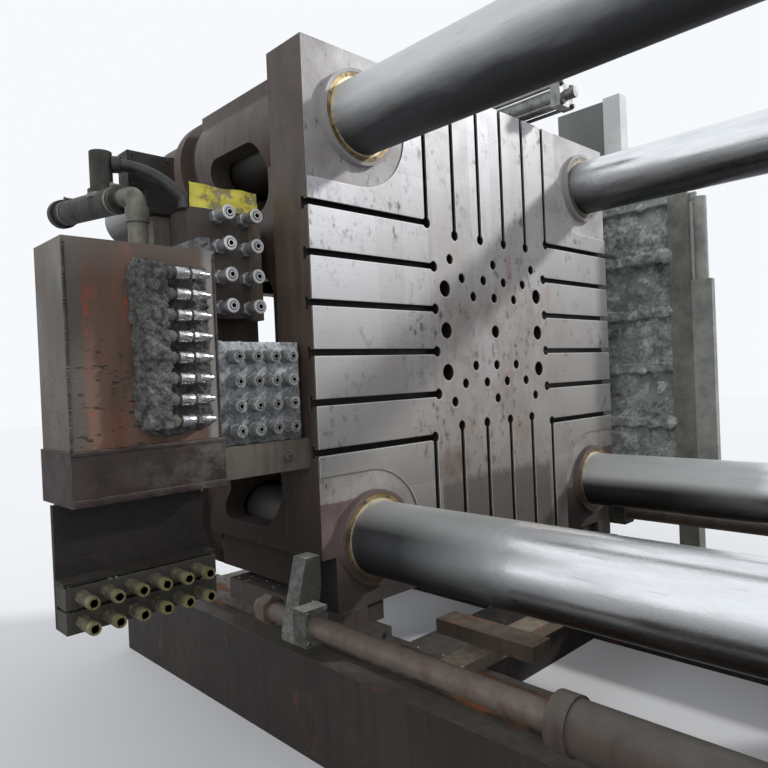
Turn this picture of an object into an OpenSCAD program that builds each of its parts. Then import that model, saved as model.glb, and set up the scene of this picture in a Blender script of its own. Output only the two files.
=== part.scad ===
// Clamping unit of a large two-platen die casting machine.
// X runs along the machine from the moving platen's die face to the fixed platen.
// Y runs across it, with the operator's side at -Y. Z is up from the floor.
// The origin is on the floor under the middle of the moving platen's die face, where the platen stands.

/* [Machine] */
// Height of the machine axis above the floor
axis_h = 1750; // [1700:10:1900]
// Distance between the two die faces as the machine stands
daylight = 2000; // [1900:50:2300]
// How far the moving platen can still open
travel_back = 800; // [600:50:900]
// How far the moving platen can close
travel_front = 350; // [250:10:400]

/* [Platens] */
// Width of both platens
platen_w = 2384; // [2360:4:2480]
// Height of both platens
platen_h = 2328; // [2300:4:2400]
// Thickness of the moving platen's slotted slab
slab_t = 240; // [200:5:280]
// Whole thickness of the moving platen, slab and ribbed box
moving_t = 1000; // [900:10:1100]
// Thickness of the wall that closes the ribbed box at the back
back_t = 110; // [80:5:130]
// Whole thickness of the fixed platen
fixed_t = 700; // [600:10:800]
// Thickness of the fixed platen's slotted slab
fixed_slab_t = 260; // [220:10:300]
// Wall thickness of the moving platen's ribbed box
box_wall = 90; // [60:5:110]
// How far the back of a platen stands in from the slab's edge
box_inset = 60; // [40:5:80]
// Thickness of the ribs inside the box
rib_t = 80; // [50:5:100]
// Radius of the bosses round the tie bars inside the box
boss_r = 270; // [240:5:280]
// Length of the side windows along the machine
window_l = 430; // [340:10:460]
// Height of the middle window
window_h = 520; // [400:10:530]
// Height of the upper and lower windows
window_low_h = 300; // [200:10:320]
// Distance of the upper and lower windows from the machine axis
window_offset = 700; // [690:5:740]
// Corner radius of the windows and pockets
window_r = 90; // [50:5:95]
// Size of a pocket in the back of a platen, along the nearest edge
pocket_long = 520; // [400:10:530]
// Size of a pocket in the back of a platen, away from the nearest edge
pocket_short = 380; // [300:10:400]
// Distance of the back pockets from the machine axis
pocket_offset = 800; // [780:5:820]
// Radius of the ejector opening in the back wall
back_hole_r = 300; // [250:10:320]
// Depth of the painted corner pads below the machined face
pad_drop = 6; // [3:1:10]
// Radius of the machined face's round step about each tie bar
pad_r = 284; // [270:2:300]
// Width of the notch in the moving platen's lower corners
notch_w = 70; // [50:5:90]
// Height of that notch
notch_h = 234; // [200:2:260]

/* [Tie bars] */
// Diameter of the tie bars
bar_d = 310; // [280:5:320]
// Distance between bar centres across the machine
bar_pitch_y = 1824; // [1800:2:1840]
// Distance between bar centres in height
bar_pitch_z = 1768; // [1760:2:1790]
// Radial gap between a bar and its bronze bush
bush_gap = 0.3; // [0.2:0.1:0.5]
// Wall of the bush inside the platen
bush_wall = 20; // [14:1:24]
// Outer radius of the bronze bush flange
bush_flange_r = 200; // [196:1:206]
// How far the bush flange stands out of the die face
bush_flange_t = 28; // [15:1:40]
// Groove pitch of the locking thread
groove_pitch = 50; // [40:5:60]
// Depth of a locking groove
groove_depth = 14; // [8:1:18]
// Slant of a groove's flank along the bar
groove_flank = 6; // [3:1:10]
// Number of locking grooves on a bar
groove_count = 7; // [4:1:8]
// Closing travel at which the locks stand over the grooves
lock_travel = 225; // [150:5:250]
// Length of the locking housings behind the moving platen
lock_t = 400; // [360:10:440]
// Thickness of a housing's flange
lock_flange_t = 70; // [50:5:90]
// Height of a housing's flange above its body
lock_flange_h = 40; // [30:5:50]
// Wall between a housing's outside and its bar
lock_wall = 95; // [80:5:105]
// Clearance round a bar inside a housing
lock_gap = 10; // [8:1:14]
// Half width of the flat pads that carry the lock cylinders
lock_pad = 90; // [75:5:95]
// Length of a lock cylinder
lock_cylinder_l = 150; // [120:5:180]
// Length of the tie bar nuts
nut_t = 260; // [220:10:300]
// Wall of a tie bar nut outside its bar
nut_wall = 105; // [90:5:110]
// Width of the spanner slots in a nut
nut_slot_w = 44; // [36:2:50]
// Depth of the spanner slots in a nut
nut_slot_h = 26; // [18:2:30]
// Length of bar that stands out of its nut
bar_end = 60; // [30:5:90]
// Length of bar left behind the locks with the machine fully open
bar_tail = 100; // [60:10:160]

/* [Slots and holes] */
// Pitch of the T-slots on the die faces
slot_pitch = 200; // [190:5:205]
// Width of a T-slot's mouth
slot_w = 28; // [22:1:36]
// Depth of a T-slot's mouth
slot_mouth = 28; // [20:1:36]
// Width of the T-slot's undercut
slot_under_w = 50; // [44:1:60]
// Height of the T-slot's undercut
slot_under_h = 22; // [16:1:28]
// Distance of the inner slots' ends from the machine axis
slot_end = 462; // [450:2:480]
// Diameter of the round pocket at a slot's inner end
slot_pocket_d = 52; // [50:1:56]
// Grid pitch of the ejector holes
eject_pitch = 86; // [84:1:88]
// Diameter of an ejector hole
eject_d = 50; // [40:1:54]
// Diameter of the six large core holes
core_d = 80; // [70:1:90]
// Pitch of the core holes in height
core_pitch = 200; // [190:5:210]
// Diameter of the middle hole
middle_d = 66; // [60:1:74]
// Bore of the shot sleeve ring in the fixed platen
sleeve_d = 260; // [220:5:300]
// Wall of the shot sleeve ring
sleeve_wall = 40; // [30:1:50]
// Height of the shot sleeve bore below the machine axis
sleeve_drop = 250; // [200:10:300]
// Length of the ejector cylinder behind the moving platen
ejector_l = 520; // [480:10:600]
// Radius of the ejector cylinder
ejector_r = 150; // [120:5:170]
// Radius of the ejector cylinder's flange
ejector_flange_r = 400; // [360:10:420]
// Thickness of the ejector cylinder's flange and its end cap
ejector_flange_t = 60; // [40:5:80]

/* [Bed] */
// Height of the feet under the moving platen
foot_h = 98; // [80:2:120]
// Inner edge of the feet from the machine's centre
foot_in = 842; // [820:2:860]
// Edge of a foot's front block
foot_step = 971; // [950:1:990]
// Outer edge of the feet
foot_out = 1123; // [1112:1:1130]
// How far the inner part of a foot stands back
foot_back = 40; // [20:5:60]
// Thickness of the slide shoes
shoe_t = 53; // [40:1:60]
// Length of the shoes behind the die face
shoe_l = 840; // [700:10:900]
// How far the shoes stand out in front of the die face
shoe_front = 55; // [40:5:70]
// Thickness of the guide strips on the beams
strip_t = 17; // [12:1:22]
// Inner edge of the guide strips from the machine's centre
strip_in = 900; // [890:2:910]
// Width of the guide strips
strip_w = 210; // [180:5:215]
// Outer face of the bed beams from the machine's centre
beam_out = 1220; // [1180:5:1230]
// Inner edge of a beam's low ledge
ledge_in = 620; // [580:10:660]
// Width of a beam's ledge
ledge_w = 270; // [200:10:280]
// Height of the ledge below the beam's top
ledge_drop = 120; // [80:5:160]
// Length of bed in front of the fixed platen
bed_front_l = 350; // [250:10:450]
// Length of bed behind the shoes with the machine fully open
bed_back_l = 160; // [100:10:250]
// Width and height of the bed's cross members
cross_member = 280; // [240:10:290]
// Length of the fixed platen's feet short of the platen at each end
fixed_foot_inset = 80; // [40:5:120]
// Width of the bar that lies across the guide strips
rest_bar_w = 112; // [90:2:130]
// Thickness of that bar
rest_bar_t = 48; // [40:1:56]
// Reach of that bar from the machine's centre
rest_bar_reach = 1065; // [1000:5:1105]
// Clearance between that bar and the shoes with the die space closed
rest_bar_gap = 12; // [6:1:30]
// Length of the slab that lies on the bar
rest_slab_l = 466; // [400:2:520]
// Width of that slab
rest_slab_w = 117; // [100:1:130]
// Thickness of that slab
rest_slab_t = 59; // [50:1:62]
// Outer edge of that slab from the machine's centre
rest_slab_out = 812; // [780:2:830]

/* [Side unit] */
// Reach of the valve box from the machine's centre
box_reach = 2125; // [2100:5:2160]
// Width of the valve box
box_w = 515; // [490:5:540]
// Depth of the valve box
box_d = 250; // [240:10:300]
// How far the valve box stands behind the die face
box_front = 20; // [15:1:30]
// Height of the valve box above the machine axis
box_rise = 262; // [250:2:280]
// Depth of the valve box below the machine axis
box_drop = 395; // [380:5:410]
// Height of the skirt under the valve box
skirt_h = 170; // [150:5:190]
// How far the skirt stands proud of the box
skirt_proud = 8; // [4:1:12]
// How far the console's back plate stands behind the die face
console_x = 640; // [600:10:700]
// Thickness of the console's back plate
console_t = 160; // [120:5:170]
// Height of the console above the machine axis
console_rise = 480; // [440:10:520]
// Height of the console's beam
console_beam_h = 120; // [80:5:130]
// How far the console's beam stands behind the die face
console_beam_x = 60; // [50:5:75]
// Height of the upper port block's top above the machine axis
upper_block_top = 489; // [480:1:500]
// Height of the upper port block
upper_block_h = 432; // [428:2:440]
// Depth of the upper port block
upper_block_d = 180; // [150:5:200]
// How far the upper port block stands behind the die face
upper_block_x = 300; // [290:5:320]
// Width of the upper port block's front plate
upper_plate_w = 270; // [260:5:280]
// Step between the upper port block's two plates
upper_step = 40; // [30:2:50]
// Gap between the upper port block and the valve box
upper_gap = 70; // [50:5:80]
// Distance of the first and second port column from the block's outer edge
upper_columns = [110, 235];
// Pitch of the upper ports in height
upper_pitch = 122; // [110:1:125]
// Height of the lowest upper port above the block's underside
upper_first = 40; // [38:1:45]
// Length of the upper fittings
upper_fitting_l = 110; // [90:5:130]
// Thickness of the lower port block
lower_block_d = 100; // [80:5:110]
// How far the lower port block stands behind the die face
lower_block_x = 80; // [75:1:90]
// Height of the lower port block
lower_block_h = 385; // [360:5:400]
// Gap between the lower port block and its neighbours on both sides
lower_gap = 20; // [10:1:25]
// Pitch of the lower ports across the block
lower_pitch_y = 80; // [76:1:88]
// Pitch of the lower ports in height
lower_pitch_z = 91; // [84:1:94]
// Length of the lower fittings
lower_fitting_l = 60; // [50:2:80]
// Diameter of a hydraulic fitting's body
fitting_d = 46; // [40:1:48]
// Thickness of the coupling plate on the valve box
coupling_plate_t = 20; // [12:1:20]
// Distance of the coupling plate from the valve box's outer edge
coupling_out = 200; // [190:2:220]
// Distance of the coupling plate from the valve box's inner edge
coupling_in = 45; // [30:1:60]
// Depth and width of the bar that carries the couplings
coupling_bar = [70, 80];
// Height of that bar
coupling_bar_h = 530; // [510:5:545]
// Pitch of the couplings
coupling_pitch = 70; // [66:1:74]
// Number of couplings
coupling_count = 8; // [5:1:8]
// Length of a coupling
coupling_l = 170; // [140:5:180]
// Width of the column under the valve box, along the machine
column_w = 250; // [200:10:280]
// Height of the column under the skirt
column_h = 255; // [240:5:260]
// Thickness of the plate that carries the return bars
return_plate_t = 20; // [15:1:25]
// How far that plate stands behind the die face
return_plate_x = 130; // [120:1:140]
// Height of a return bar
return_bar_h = 66; // [60:1:70]
// Depth of a return bar
return_bar_d = 80; // [60:2:90]
// Gap between the two return bars
return_bar_gap = 11; // [8:1:16]
// Pitch of the return fittings
return_pitch = 77; // [72:1:80]
// Number of return fittings on a bar
return_count = 6; // [4:1:6]
// Length of a return fitting
return_fitting_l = 100; // [80:5:120]
// Radius of the return pipe
return_pipe_r = 34; // [28:1:38]
// Radius of the large hose behind the return pipe
return_hose_r = 50; // [44:1:52]
// Radius of the black hose from the large hose to the upper port block
bow_hose_r = 24; // [18:1:28]
// Radius of that hose's bow
bow_r = 322; // [316:2:328]
// Turn of the bow's plane away from the Y axis
bow_turn = 30; // [28:1:32]
// Radius of the upright branch that the hose leaves
branch_r = 42; // [36:1:46]
// Height of the terminal box
terminal_h = 158; // [130:2:180]
// Width of the terminal box
terminal_w = 184; // [160:2:200]
// Depth of the terminal box
terminal_d = 90; // [70:2:110]
// Height of the block under the terminal box
terminal_foot_h = 88; // [70:2:100]

/* [Travel cylinders] */
// Distance of the travel rods from the machine's centre
rod_y = 1280; // [1276:1:1290]
// Height of the travel rods below the machine axis
rod_drop = 1152; // [1146:2:1158]
// Diameter of the travel rods
rod_d = 80; // [70:2:90]
// Outer diameter of the travel cylinders' barrels
barrel_d = 160; // [140:2:164]
// Wall thickness of the barrels
barrel_wall = 18; // [12:1:22]
// Thickness of the barrels' end glands
gland_t = 60; // [40:5:80]
// Length of rod in view in front of the clamp with the die space closed
rod_free = 700; // [600:10:800]
// Length of rod left in the barrel with the machine fully open
rod_in = 150; // [100:10:200]
// Width of the brackets and clamps that hold the rods
clamp_w = 112; // [100:2:120]
// Height of the clamps
clamp_h = 140; // [120:2:150]
// How far the clamps stand out in front of the die face
clamp_front = 50; // [40:2:60]
// Thickness of the brackets
bracket_t = 80; // [60:5:90]
// Distance of the brackets' tops below the machine axis
bracket_top = 875; // [860:5:890]

/* [Far guard] */
// Distance of the guard from the machine's centre
guard_y = 1700; // [1650:10:1750]
// Length of the guard panel
guard_l = 815; // [700:5:900]
// Height of the guard panel
guard_h = 1900; // [1800:10:1950]
// Height of the panel's lower edge above the floor
guard_low = 760; // [700:10:800]
// Thickness of the panel's sheet
guard_t = 20; // [10:1:25]
// Depth and height of the ledges across the panel
ledge = 50; // [40:2:60]
// Number of fields between the ledges
guard_fields = 5; // [3:1:6]
// Width of the guard post
post_w = 130; // [100:5:150]
// Radius of the pipe beside the guard post
guard_pipe_r = 41; // [30:1:45]
// Height of the plate that carries that pipe above the panel's lower edge
guard_plate_h = 1322; // [1200:2:1400]
// Length of that pipe
guard_pipe_l = 538; // [400:2:600]
// Height of the sheet above the guard panel
upper_sheet_h = 780; // [600:10:800]
// Length of the sheet above the guard panel
upper_sheet_l = 390; // [300:10:450]

/* [Hidden] */

$fn = 64;
eps = 1;
near = -1;
far = 1;
low = -1;
high = 1;
seat_gap = 0.3;

half_w = platen_w / 2;
half_h = platen_h / 2;
platen_low = axis_h - half_h;
platen_high = axis_h + half_h;
bar_r = bar_d / 2;
bar_y = bar_pitch_y / 2;
bar_z = bar_pitch_z / 2;
back_x = -moving_t;
box_half_w = half_w - box_inset;
box_half_h = half_h - box_inset;
slot_offsets = [-2.5, -1.5, -0.5, 0.5, 1.5, 2.5];
slot_corner = slot_pitch * 2.5;
// Places of the ejector holes in Y and Z, counted in ejector pitches
eject_grid = [[-4, 4], [0, 4], [4, 4], [-3, 3], [-1, 3], [1, 3], [3, 3], [-2, 2], [0, 2], [2, 2],
    [-2, -2], [0, -2], [2, -2], [-3, -3], [-1, -3], [1, -3], [3, -3], [-4, -4], [0, -4], [4, -4]];
core_y = 4.5 * eject_pitch;

bush_bore = bar_r + bush_gap;
bush_spigot_r = bush_bore + bush_wall;
platen_bore = bush_spigot_r + seat_gap;
lock_body_r = bar_r + lock_wall;
lock_back = back_x - lock_t;
lock_middle = back_x - (lock_t + lock_flange_t) / 2;
lock_pad_y = lock_body_r + 20;
groove_from = back_x - lock_t / 2 + lock_travel - groove_count * groove_pitch / 2;
bar_from = lock_back - travel_back - bar_tail;
bar_to = daylight + fixed_t + nut_t + bar_end;
nut_r = bar_r + nut_wall;
nut_chamfer = 20;

foot_low = platen_low - foot_h;
strip_top = foot_low - shoe_t;
beam_h = strip_top - strip_t;
beam_in = ledge_in + ledge_w;
ledge_h = beam_h - ledge_drop;
strip_from = -shoe_l - travel_back - 60;
strip_to = daylight - 100;
bed_back = strip_from - bed_back_l;
bed_front = daylight + fixed_t + bed_front_l;
shoe_in = strip_in - 11;
shoe_out = strip_in + strip_w;
rest_bar_x = shoe_front + travel_front + rest_bar_gap;

box_in = box_reach - box_w;
box_back = box_front + box_d;
box_top = axis_h + box_rise;
box_low = axis_h - box_drop;
skirt_low = box_low - skirt_h;
upper_out = box_in - upper_gap;
upper_top = axis_h + upper_block_top;
lower_out = box_in - lower_gap;
lower_middle = (lower_out + half_w + lower_gap) / 2;
column_out = box_reach - 65;
column_in = box_in + 30;
column_front = return_plate_x + return_plate_t;
return_out = box_reach + 25;
return_top = skirt_low - column_h + return_bar_h / 2 - 24;
return_levels = [return_top - return_bar_h / 2, return_top - return_bar_h * 1.5 - return_bar_gap];
pipe_x = -box_front - 180;
pipe_y = -(box_reach + box_in) / 2 + 67.5;
pipe_z = box_top + 213;
pipe_bend = 50;
bow_x = pipe_x - 300;
bow_z = upper_top - 155;
bow_from = 34;

rod_z = axis_h - rod_drop;
rod_r = rod_d / 2;
barrel_from = clamp_front + travel_front + rod_free;
rod_to = barrel_from + travel_back + rod_in;
barrel_to = rod_to + travel_front + gland_t + 40;
guard_to = 215;
guard_from = guard_to - guard_l;
guard_high = guard_low + guard_h;
upper_post_w = 125;

paint_brown = [0.30, 0.24, 0.22];
paint_red = [0.36, 0.20, 0.16];
bed_dark = [0.24, 0.20, 0.19];
steel_bright = [0.74, 0.75, 0.76];
steel_dull = [0.50, 0.50, 0.50];
bronze = [0.62, 0.50, 0.33];
crust_grey = [0.45, 0.46, 0.46];
port_blue = [0.52, 0.55, 0.60];
port_brown = [0.40, 0.36, 0.35];
rust = [0.45, 0.28, 0.18];
fitting_steel = [0.66, 0.67, 0.68];
fitting_olive = [0.52, 0.48, 0.34];
hose_black = [0.08, 0.08, 0.08];
tag_yellow = [0.80, 0.72, 0.15];

// Extrudes a drawing in Y and Z along the machine.
module along_x(x_from, x_to) {
    translate([x_from, 0, 0])
        rotate([90, 0, 90])
            linear_extrude(x_to - x_from)
                children();
}

// Extrudes a drawing in X and Z across the machine.
module along_y(y_from, y_to) {
    translate([0, y_to, 0])
        rotate([90, 0, 0])
            linear_extrude(y_to - y_from)
                children();
}

module block(from, to) {
    translate(from)
        cube(to - from);
}

module rod_x(x_from, x_to, r) {
    translate([x_from, 0, 0])
        rotate([0, 90, 0])
            cylinder(h = x_to - x_from, r = r);
}

module tube_x(x_from, x_to, r_out, r_in) {
    difference() {
        rod_x(x_from, x_to, r_out);
        rod_x(x_from - eps, x_to + eps, r_in);
    }
}

module round_rect(w, h, r) {
    square([w - 2 * r, h], center = true);
    square([w, h - 2 * r], center = true);
    for (sx = [-1, 1], sy = [-1, 1])
        translate([sx * (w / 2 - r), sy * (h / 2 - r)])
            circle(r = r);
}

module at_bars() {
    for (sy = [near, far], sz = [low, high])
        translate([0, sy * bar_y, axis_h + sz * bar_z])
            children();
}

module both_sides() {
    children();
    mirror([0, 1, 0])
        children();
}

// One T-slot along +Z in the plane X = 0, cut into the side X < 0.
module t_slot(from, to) {
    block([-slot_mouth - eps, -slot_w / 2, from], [eps, slot_w / 2, to]);
    block([-slot_mouth - slot_under_h, -slot_under_w / 2, from],
        [-slot_mouth, slot_under_w / 2, to]);
    translate([0, 0, from])
        rod_x(-slot_mouth - slot_under_h, eps, slot_pocket_d / 2);
}

// All the slots of one die face, which looks along +X.
module slot_pattern() {
    reach = max(half_w, half_h) + 2 * eps;
    for (turn = [0, 90, 180, 270])
        rotate([turn, 0, 0])
            for (i = slot_offsets)
                translate([0, i * slot_pitch, 0])
                    t_slot(abs(i) > 2 ? slot_corner : slot_end, reach);
}

module ejector_holes(depth) {
    for (p = eject_grid)
        translate([0, p[0] * eject_pitch, p[1] * eject_pitch])
            rod_x(-depth, eps, eject_d / 2);
    for (sy = [near, far], z = [-core_pitch, 0, core_pitch])
        translate([0, sy * core_y, z])
            rod_x(-depth, eps, core_d / 2);
    rod_x(-depth, eps, middle_d / 2);
}

module slab_outline() {
    difference() {
        square([platen_w, platen_h], center = true);
        for (s = [near, far])
            translate([s * half_w, -half_h])
                square([2 * notch_w, 2 * notch_h], center = true);
    }
}

// The corner pads, round towards the middle of the die face.
module corner_pads() {
    for (sy = [near, far], sz = [low, high])
        translate([sy * bar_y, sz * bar_z]) {
            circle(r = pad_r);
            translate([sy * half_w / 2, 0])
                square([half_w, 2 * pad_r], center = true);
            translate([0, sz * half_h / 2])
                square([2 * pad_r, half_h], center = true);
            translate([sy * half_w / 2, sz * half_h / 2])
                square([half_w, half_h], center = true);
        }
}

module rib_grid() {
    difference() {
        square([2 * box_half_w, 2 * box_half_h], center = true);
        square([2 * (box_half_w - box_wall), 2 * (box_half_h - box_wall)], center = true);
    }
    for (s = [-1, 1]) {
        translate([s * slot_corner, 0])
            square([rib_t, 2 * box_half_h - box_wall], center = true);
        translate([0, s * slot_corner])
            square([2 * box_half_w - box_wall, rib_t], center = true);
    }
    for (sy = [near, far], sz = [low, high])
        translate([sy * bar_y, sz * bar_z])
            circle(r = boss_r);
}

// Round-cornered pockets in the back of a platen, one behind each side of the die face.
module back_pockets() {
    for (s = [-1, 1]) {
        translate([s * pocket_offset, 0])
            round_rect(pocket_short, pocket_long, window_r);
        translate([0, s * pocket_offset])
            round_rect(pocket_long, pocket_short, window_r);
    }
}

// Windows through the walls of the ribbed box, three to a side.
module box_windows() {
    window_x = -(slab_t + moving_t - back_t) / 2;
    for (s = [-1, 0, 1]) {
        size = s == 0 ? window_h : window_low_h;
        translate([window_x, 0, s * window_offset])
            along_y(-half_w, half_w)
                round_rect(window_l, size, window_r);
        translate([window_x, s * window_offset, 0])
            linear_extrude(platen_h, center = true)
                round_rect(window_l, size, window_r);
    }
}

module moving_platen() {
    color(paint_brown)
        translate([0, 0, axis_h])
            difference() {
                union() {
                    along_x(-slab_t, 0)
                        slab_outline();
                    difference() {
                        along_x(back_x + back_t, -slab_t)
                            rib_grid();
                        box_windows();
                        for (s = [near, far])
                            translate([0, s * half_w, -half_h])
                                block([back_x, -notch_w, 0], [-slab_t, notch_w, notch_h]);
                    }
                    along_x(back_x, back_x + back_t)
                        difference() {
                            round_rect(2 * box_half_w, 2 * box_half_h, 160);
                            circle(r = back_hole_r);
                            back_pockets();
                        }
                }
                along_x(-pad_drop, eps)
                    intersection() {
                        corner_pads();
                        square([platen_w + 2 * eps, platen_h + 2 * eps], center = true);
                    }
                for (sy = [near, far], sz = [low, high])
                    translate([0, sy * bar_y, sz * bar_z])
                        rod_x(back_x - eps, eps, platen_bore);
                slot_pattern();
                ejector_holes(slab_t + eps);
            }
}

module moving_platen_feet() {
    color(bed_dark)
        both_sides() {
            block([-shoe_l, foot_step, foot_low], [0, foot_out, platen_low]);
            block([-shoe_l, foot_in, foot_low], [-foot_back, foot_step, platen_low]);
        }
}

module slide_shoes() {
    color(steel_dull)
        both_sides()
            block([-shoe_l, shoe_in, strip_top], [shoe_front, shoe_out, foot_low]);
}

module bar_bushes() {
    color(bronze)
        at_bars()
            difference() {
                union() {
                    rod_x(-pad_drop, bush_flange_t, bush_flange_r);
                    rod_x(-slab_t, 0, bush_spigot_r);
                }
                rod_x(-slab_t - eps, bush_flange_t + eps, bush_bore);
            }
}

module fixed_platen() {
    color(paint_brown)
        translate([daylight, 0, axis_h])
            mirror([1, 0, 0])
                difference() {
                    union() {
                        along_x(-fixed_slab_t, 0)
                            square([platen_w, platen_h], center = true);
                        along_x(-fixed_t, -fixed_slab_t)
                            difference() {
                                round_rect(platen_w - 2 * box_inset, platen_h - 2 * box_inset, 200);
                                back_pockets();
                            }
                    }
                    for (sy = [near, far], sz = [low, high])
                        translate([0, sy * bar_y, sz * bar_z])
                            rod_x(-fixed_t - eps, eps, bar_r + seat_gap);
                    slot_pattern();
                    translate([0, 0, -sleeve_drop])
                        rod_x(-fixed_t - eps, eps, sleeve_d / 2 + sleeve_wall);
                }
}

module sleeve_ring() {
    color(steel_dull)
        translate([daylight, 0, axis_h - sleeve_drop])
            tube_x(0, fixed_t, sleeve_d / 2 + sleeve_wall - seat_gap, sleeve_d / 2);
}

module fixed_platen_feet() {
    color(bed_dark)
        both_sides()
            block([daylight + fixed_foot_inset, beam_in, beam_h],
                [daylight + fixed_t - fixed_foot_inset, half_w, platen_low]);
}

// A round bar with ring grooves where the half nuts close on it.
module tie_bar(side, level) {
    color(steel_bright)
        translate([0, side * bar_y, axis_h + level * bar_z])
            rotate([0, 90, 0])
                difference() {
                    translate([0, 0, bar_from])
                        cylinder(h = bar_to - bar_from, r = bar_r);
                    for (i = [0 : groove_count - 1])
                        translate([0, 0, groove_from + i * groove_pitch])
                            rotate_extrude()
                                polygon([[bar_r - groove_depth, groove_flank], [bar_r + eps, 0],
                                    [bar_r + eps, groove_pitch / 2],
                                    [bar_r - groove_depth, groove_pitch / 2 - groove_flank]]);
                }
}

module tie_bar_nuts() {
    color(steel_dull)
        at_bars()
            translate([daylight + fixed_t, 0, 0])
                difference() {
                    rotate([0, 90, 0])
                        rotate_extrude($fn = 96)
                            polygon([[bar_r + seat_gap, 0], [nut_r, 0], [nut_r, nut_t - nut_chamfer],
                                [nut_r - nut_chamfer, nut_t], [bar_r + seat_gap, nut_t]]);
                    for (a = [0 : 45 : 315])
                        rotate([a, 0, 0])
                            block([nut_t / 4, -nut_slot_w / 2, nut_r - nut_slot_h],
                                [nut_t + eps, nut_slot_w / 2, nut_r + eps]);
                }
}

module lock_housings() {
    color(paint_brown)
        at_bars()
            difference() {
                union() {
                    rod_x(back_x - lock_flange_t, back_x, lock_body_r + lock_flange_h);
                    rod_x(lock_back, back_x - lock_flange_t, lock_body_r);
                    block([lock_middle - lock_pad, -lock_pad_y, -lock_pad],
                        [lock_middle + lock_pad, lock_pad_y, lock_pad]);
                }
                rod_x(lock_back - eps, back_x + eps, bar_r + lock_gap);
            }
}

// Small cylinders that close the half nuts, one on each outer side of a housing.
module lock_cylinders() {
    color(steel_dull)
        at_bars()
            for (s = [near, far])
                translate([lock_middle, s * lock_pad_y, 0])
                    rotate([-s * 90, 0, 0]) {
                        cylinder(h = lock_cylinder_l * 0.6, r = lock_pad - 10);
                        translate([0, 0, lock_cylinder_l * 0.6])
                            cylinder(h = lock_cylinder_l * 0.4, r = lock_pad * 0.6);
                    }
}

module ejector_cylinder() {
    cap_x = back_x - ejector_l + ejector_flange_t;
    color(steel_dull)
        translate([0, 0, axis_h]) {
            rod_x(back_x - ejector_flange_t, back_x, ejector_flange_r);
            rod_x(cap_x, back_x - ejector_flange_t, ejector_r);
            rod_x(back_x - ejector_l, cap_x, ejector_r + 30);
        }
}

// Hydraulic cylinder that lies along the machine on top of the moving platen.
module top_cylinder() {
    head = 130;
    lift = 131;
    color(steel_dull)
        translate([0, 500, platen_high]) {
            translate([0, 0, lift]) {
                rod_x(-420, 150, head / 2 - 10);
                block([-460, -head / 2, -head / 2], [-400, head / 2, head / 2]);
                block([110, -head / 2, -head / 2], [170, head / 2, head / 2]);
                rod_x(170, 230, 30);
                for (sy = [-1, 1], sz = [-1, 1])
                    translate([0, sy * 52, sz * 52])
                        rod_x(-480, 190, 10);
            }
            for (x = [-440, -230])
                block([x - 20, -head / 2, 0], [x + 20, head / 2, lift - head / 4]);
        }
}

module bed_beam() {
    along_x(bed_back, bed_front)
        polygon([[ledge_in, 0], [beam_out, 0], [beam_out, beam_h], [beam_in, beam_h],
            [beam_in, ledge_h], [ledge_in, ledge_h]]);
}

module bed_cross_members() {
    last = bed_front - cross_member;
    color(bed_dark)
        for (x = [bed_back, -cross_member / 2, daylight * 0.8, last])
            block([x, -ledge_in, 0], [x + cross_member, ledge_in, cross_member]);
}

module guide_strips() {
    color(rust)
        both_sides()
            block([strip_from, strip_in, beam_h], [strip_to, strip_in + strip_w, strip_top]);
}

module rest_bar() {
    color(rust)
        block([rest_bar_x, -rest_bar_reach, strip_top],
            [rest_bar_x + rest_bar_w, rest_bar_reach, strip_top + rest_bar_t]);
}

module rest_slab() {
    middle = rest_bar_x + rest_bar_w / 2;
    color(rust)
        translate([middle, 0, strip_top + rest_bar_t])
            block([-rest_slab_l / 2, -rest_slab_out, 0],
                [rest_slab_l / 2, -rest_slab_out + rest_slab_w, rest_slab_t]);
}

module travel_brackets() {
    edge = rod_y + clamp_w / 2;
    bottom = rod_z - clamp_h / 2;
    color(crust_grey)
        both_sides()
            difference() {
                along_x(-clamp_front / 2 - bracket_t, -clamp_front / 2)
                    polygon([[half_w, axis_h - bracket_top + 10], [edge, axis_h - bracket_top],
                        [edge, bottom], [edge - clamp_w, bottom], [half_w, bottom + clamp_h * 1.4]]);
                translate([0, rod_y, rod_z])
                    rod_x(-clamp_front - bracket_t, 0, rod_r + seat_gap);
            }
}

module travel_clamps() {
    color(crust_grey)
        both_sides()
            translate([0, rod_y, rod_z])
                difference() {
                    block([-clamp_front / 2, -clamp_w / 2, -clamp_h / 2], [clamp_front, clamp_w / 2, clamp_h / 2]);
                    rod_x(-clamp_front, clamp_front + eps, rod_r + seat_gap);
                }
}

// The rods pass through the brackets and carry a nut behind them.
module travel_rods() {
    nut_x = -clamp_front / 2 - bracket_t - 190;
    color(rust)
        both_sides()
            translate([0, rod_y, rod_z]) {
                rod_x(nut_x - 30, rod_to, rod_r);
                rod_x(nut_x, nut_x + 60, rod_r + 20, $fn = 6);
            }
}

module travel_barrels() {
    color(paint_brown)
        both_sides()
            translate([0, rod_y, rod_z])
                difference() {
                    union() {
                        rod_x(barrel_from, barrel_to, barrel_d / 2 - 8);
                        rod_x(barrel_from, barrel_from + gland_t, barrel_d / 2);
                        rod_x(barrel_to - gland_t, barrel_to, barrel_d / 2);
                    }
                    rod_x(barrel_from + gland_t, barrel_to - gland_t, barrel_d / 2 - 8 - barrel_wall);
                    rod_x(barrel_from - eps, barrel_from + gland_t + eps, rod_r + seat_gap);
                }
}

module barrel_brackets() {
    color(bed_dark)
        both_sides()
            difference() {
                block([daylight + 100, half_w, rod_z - barrel_d * 0.8],
                    [daylight + 220, rod_y + barrel_d * 0.8, rod_z + barrel_d * 0.8]);
                translate([0, rod_y, rod_z])
                    rod_x(daylight, daylight + 300, barrel_d / 2 - 8 + seat_gap);
            }
}

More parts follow.
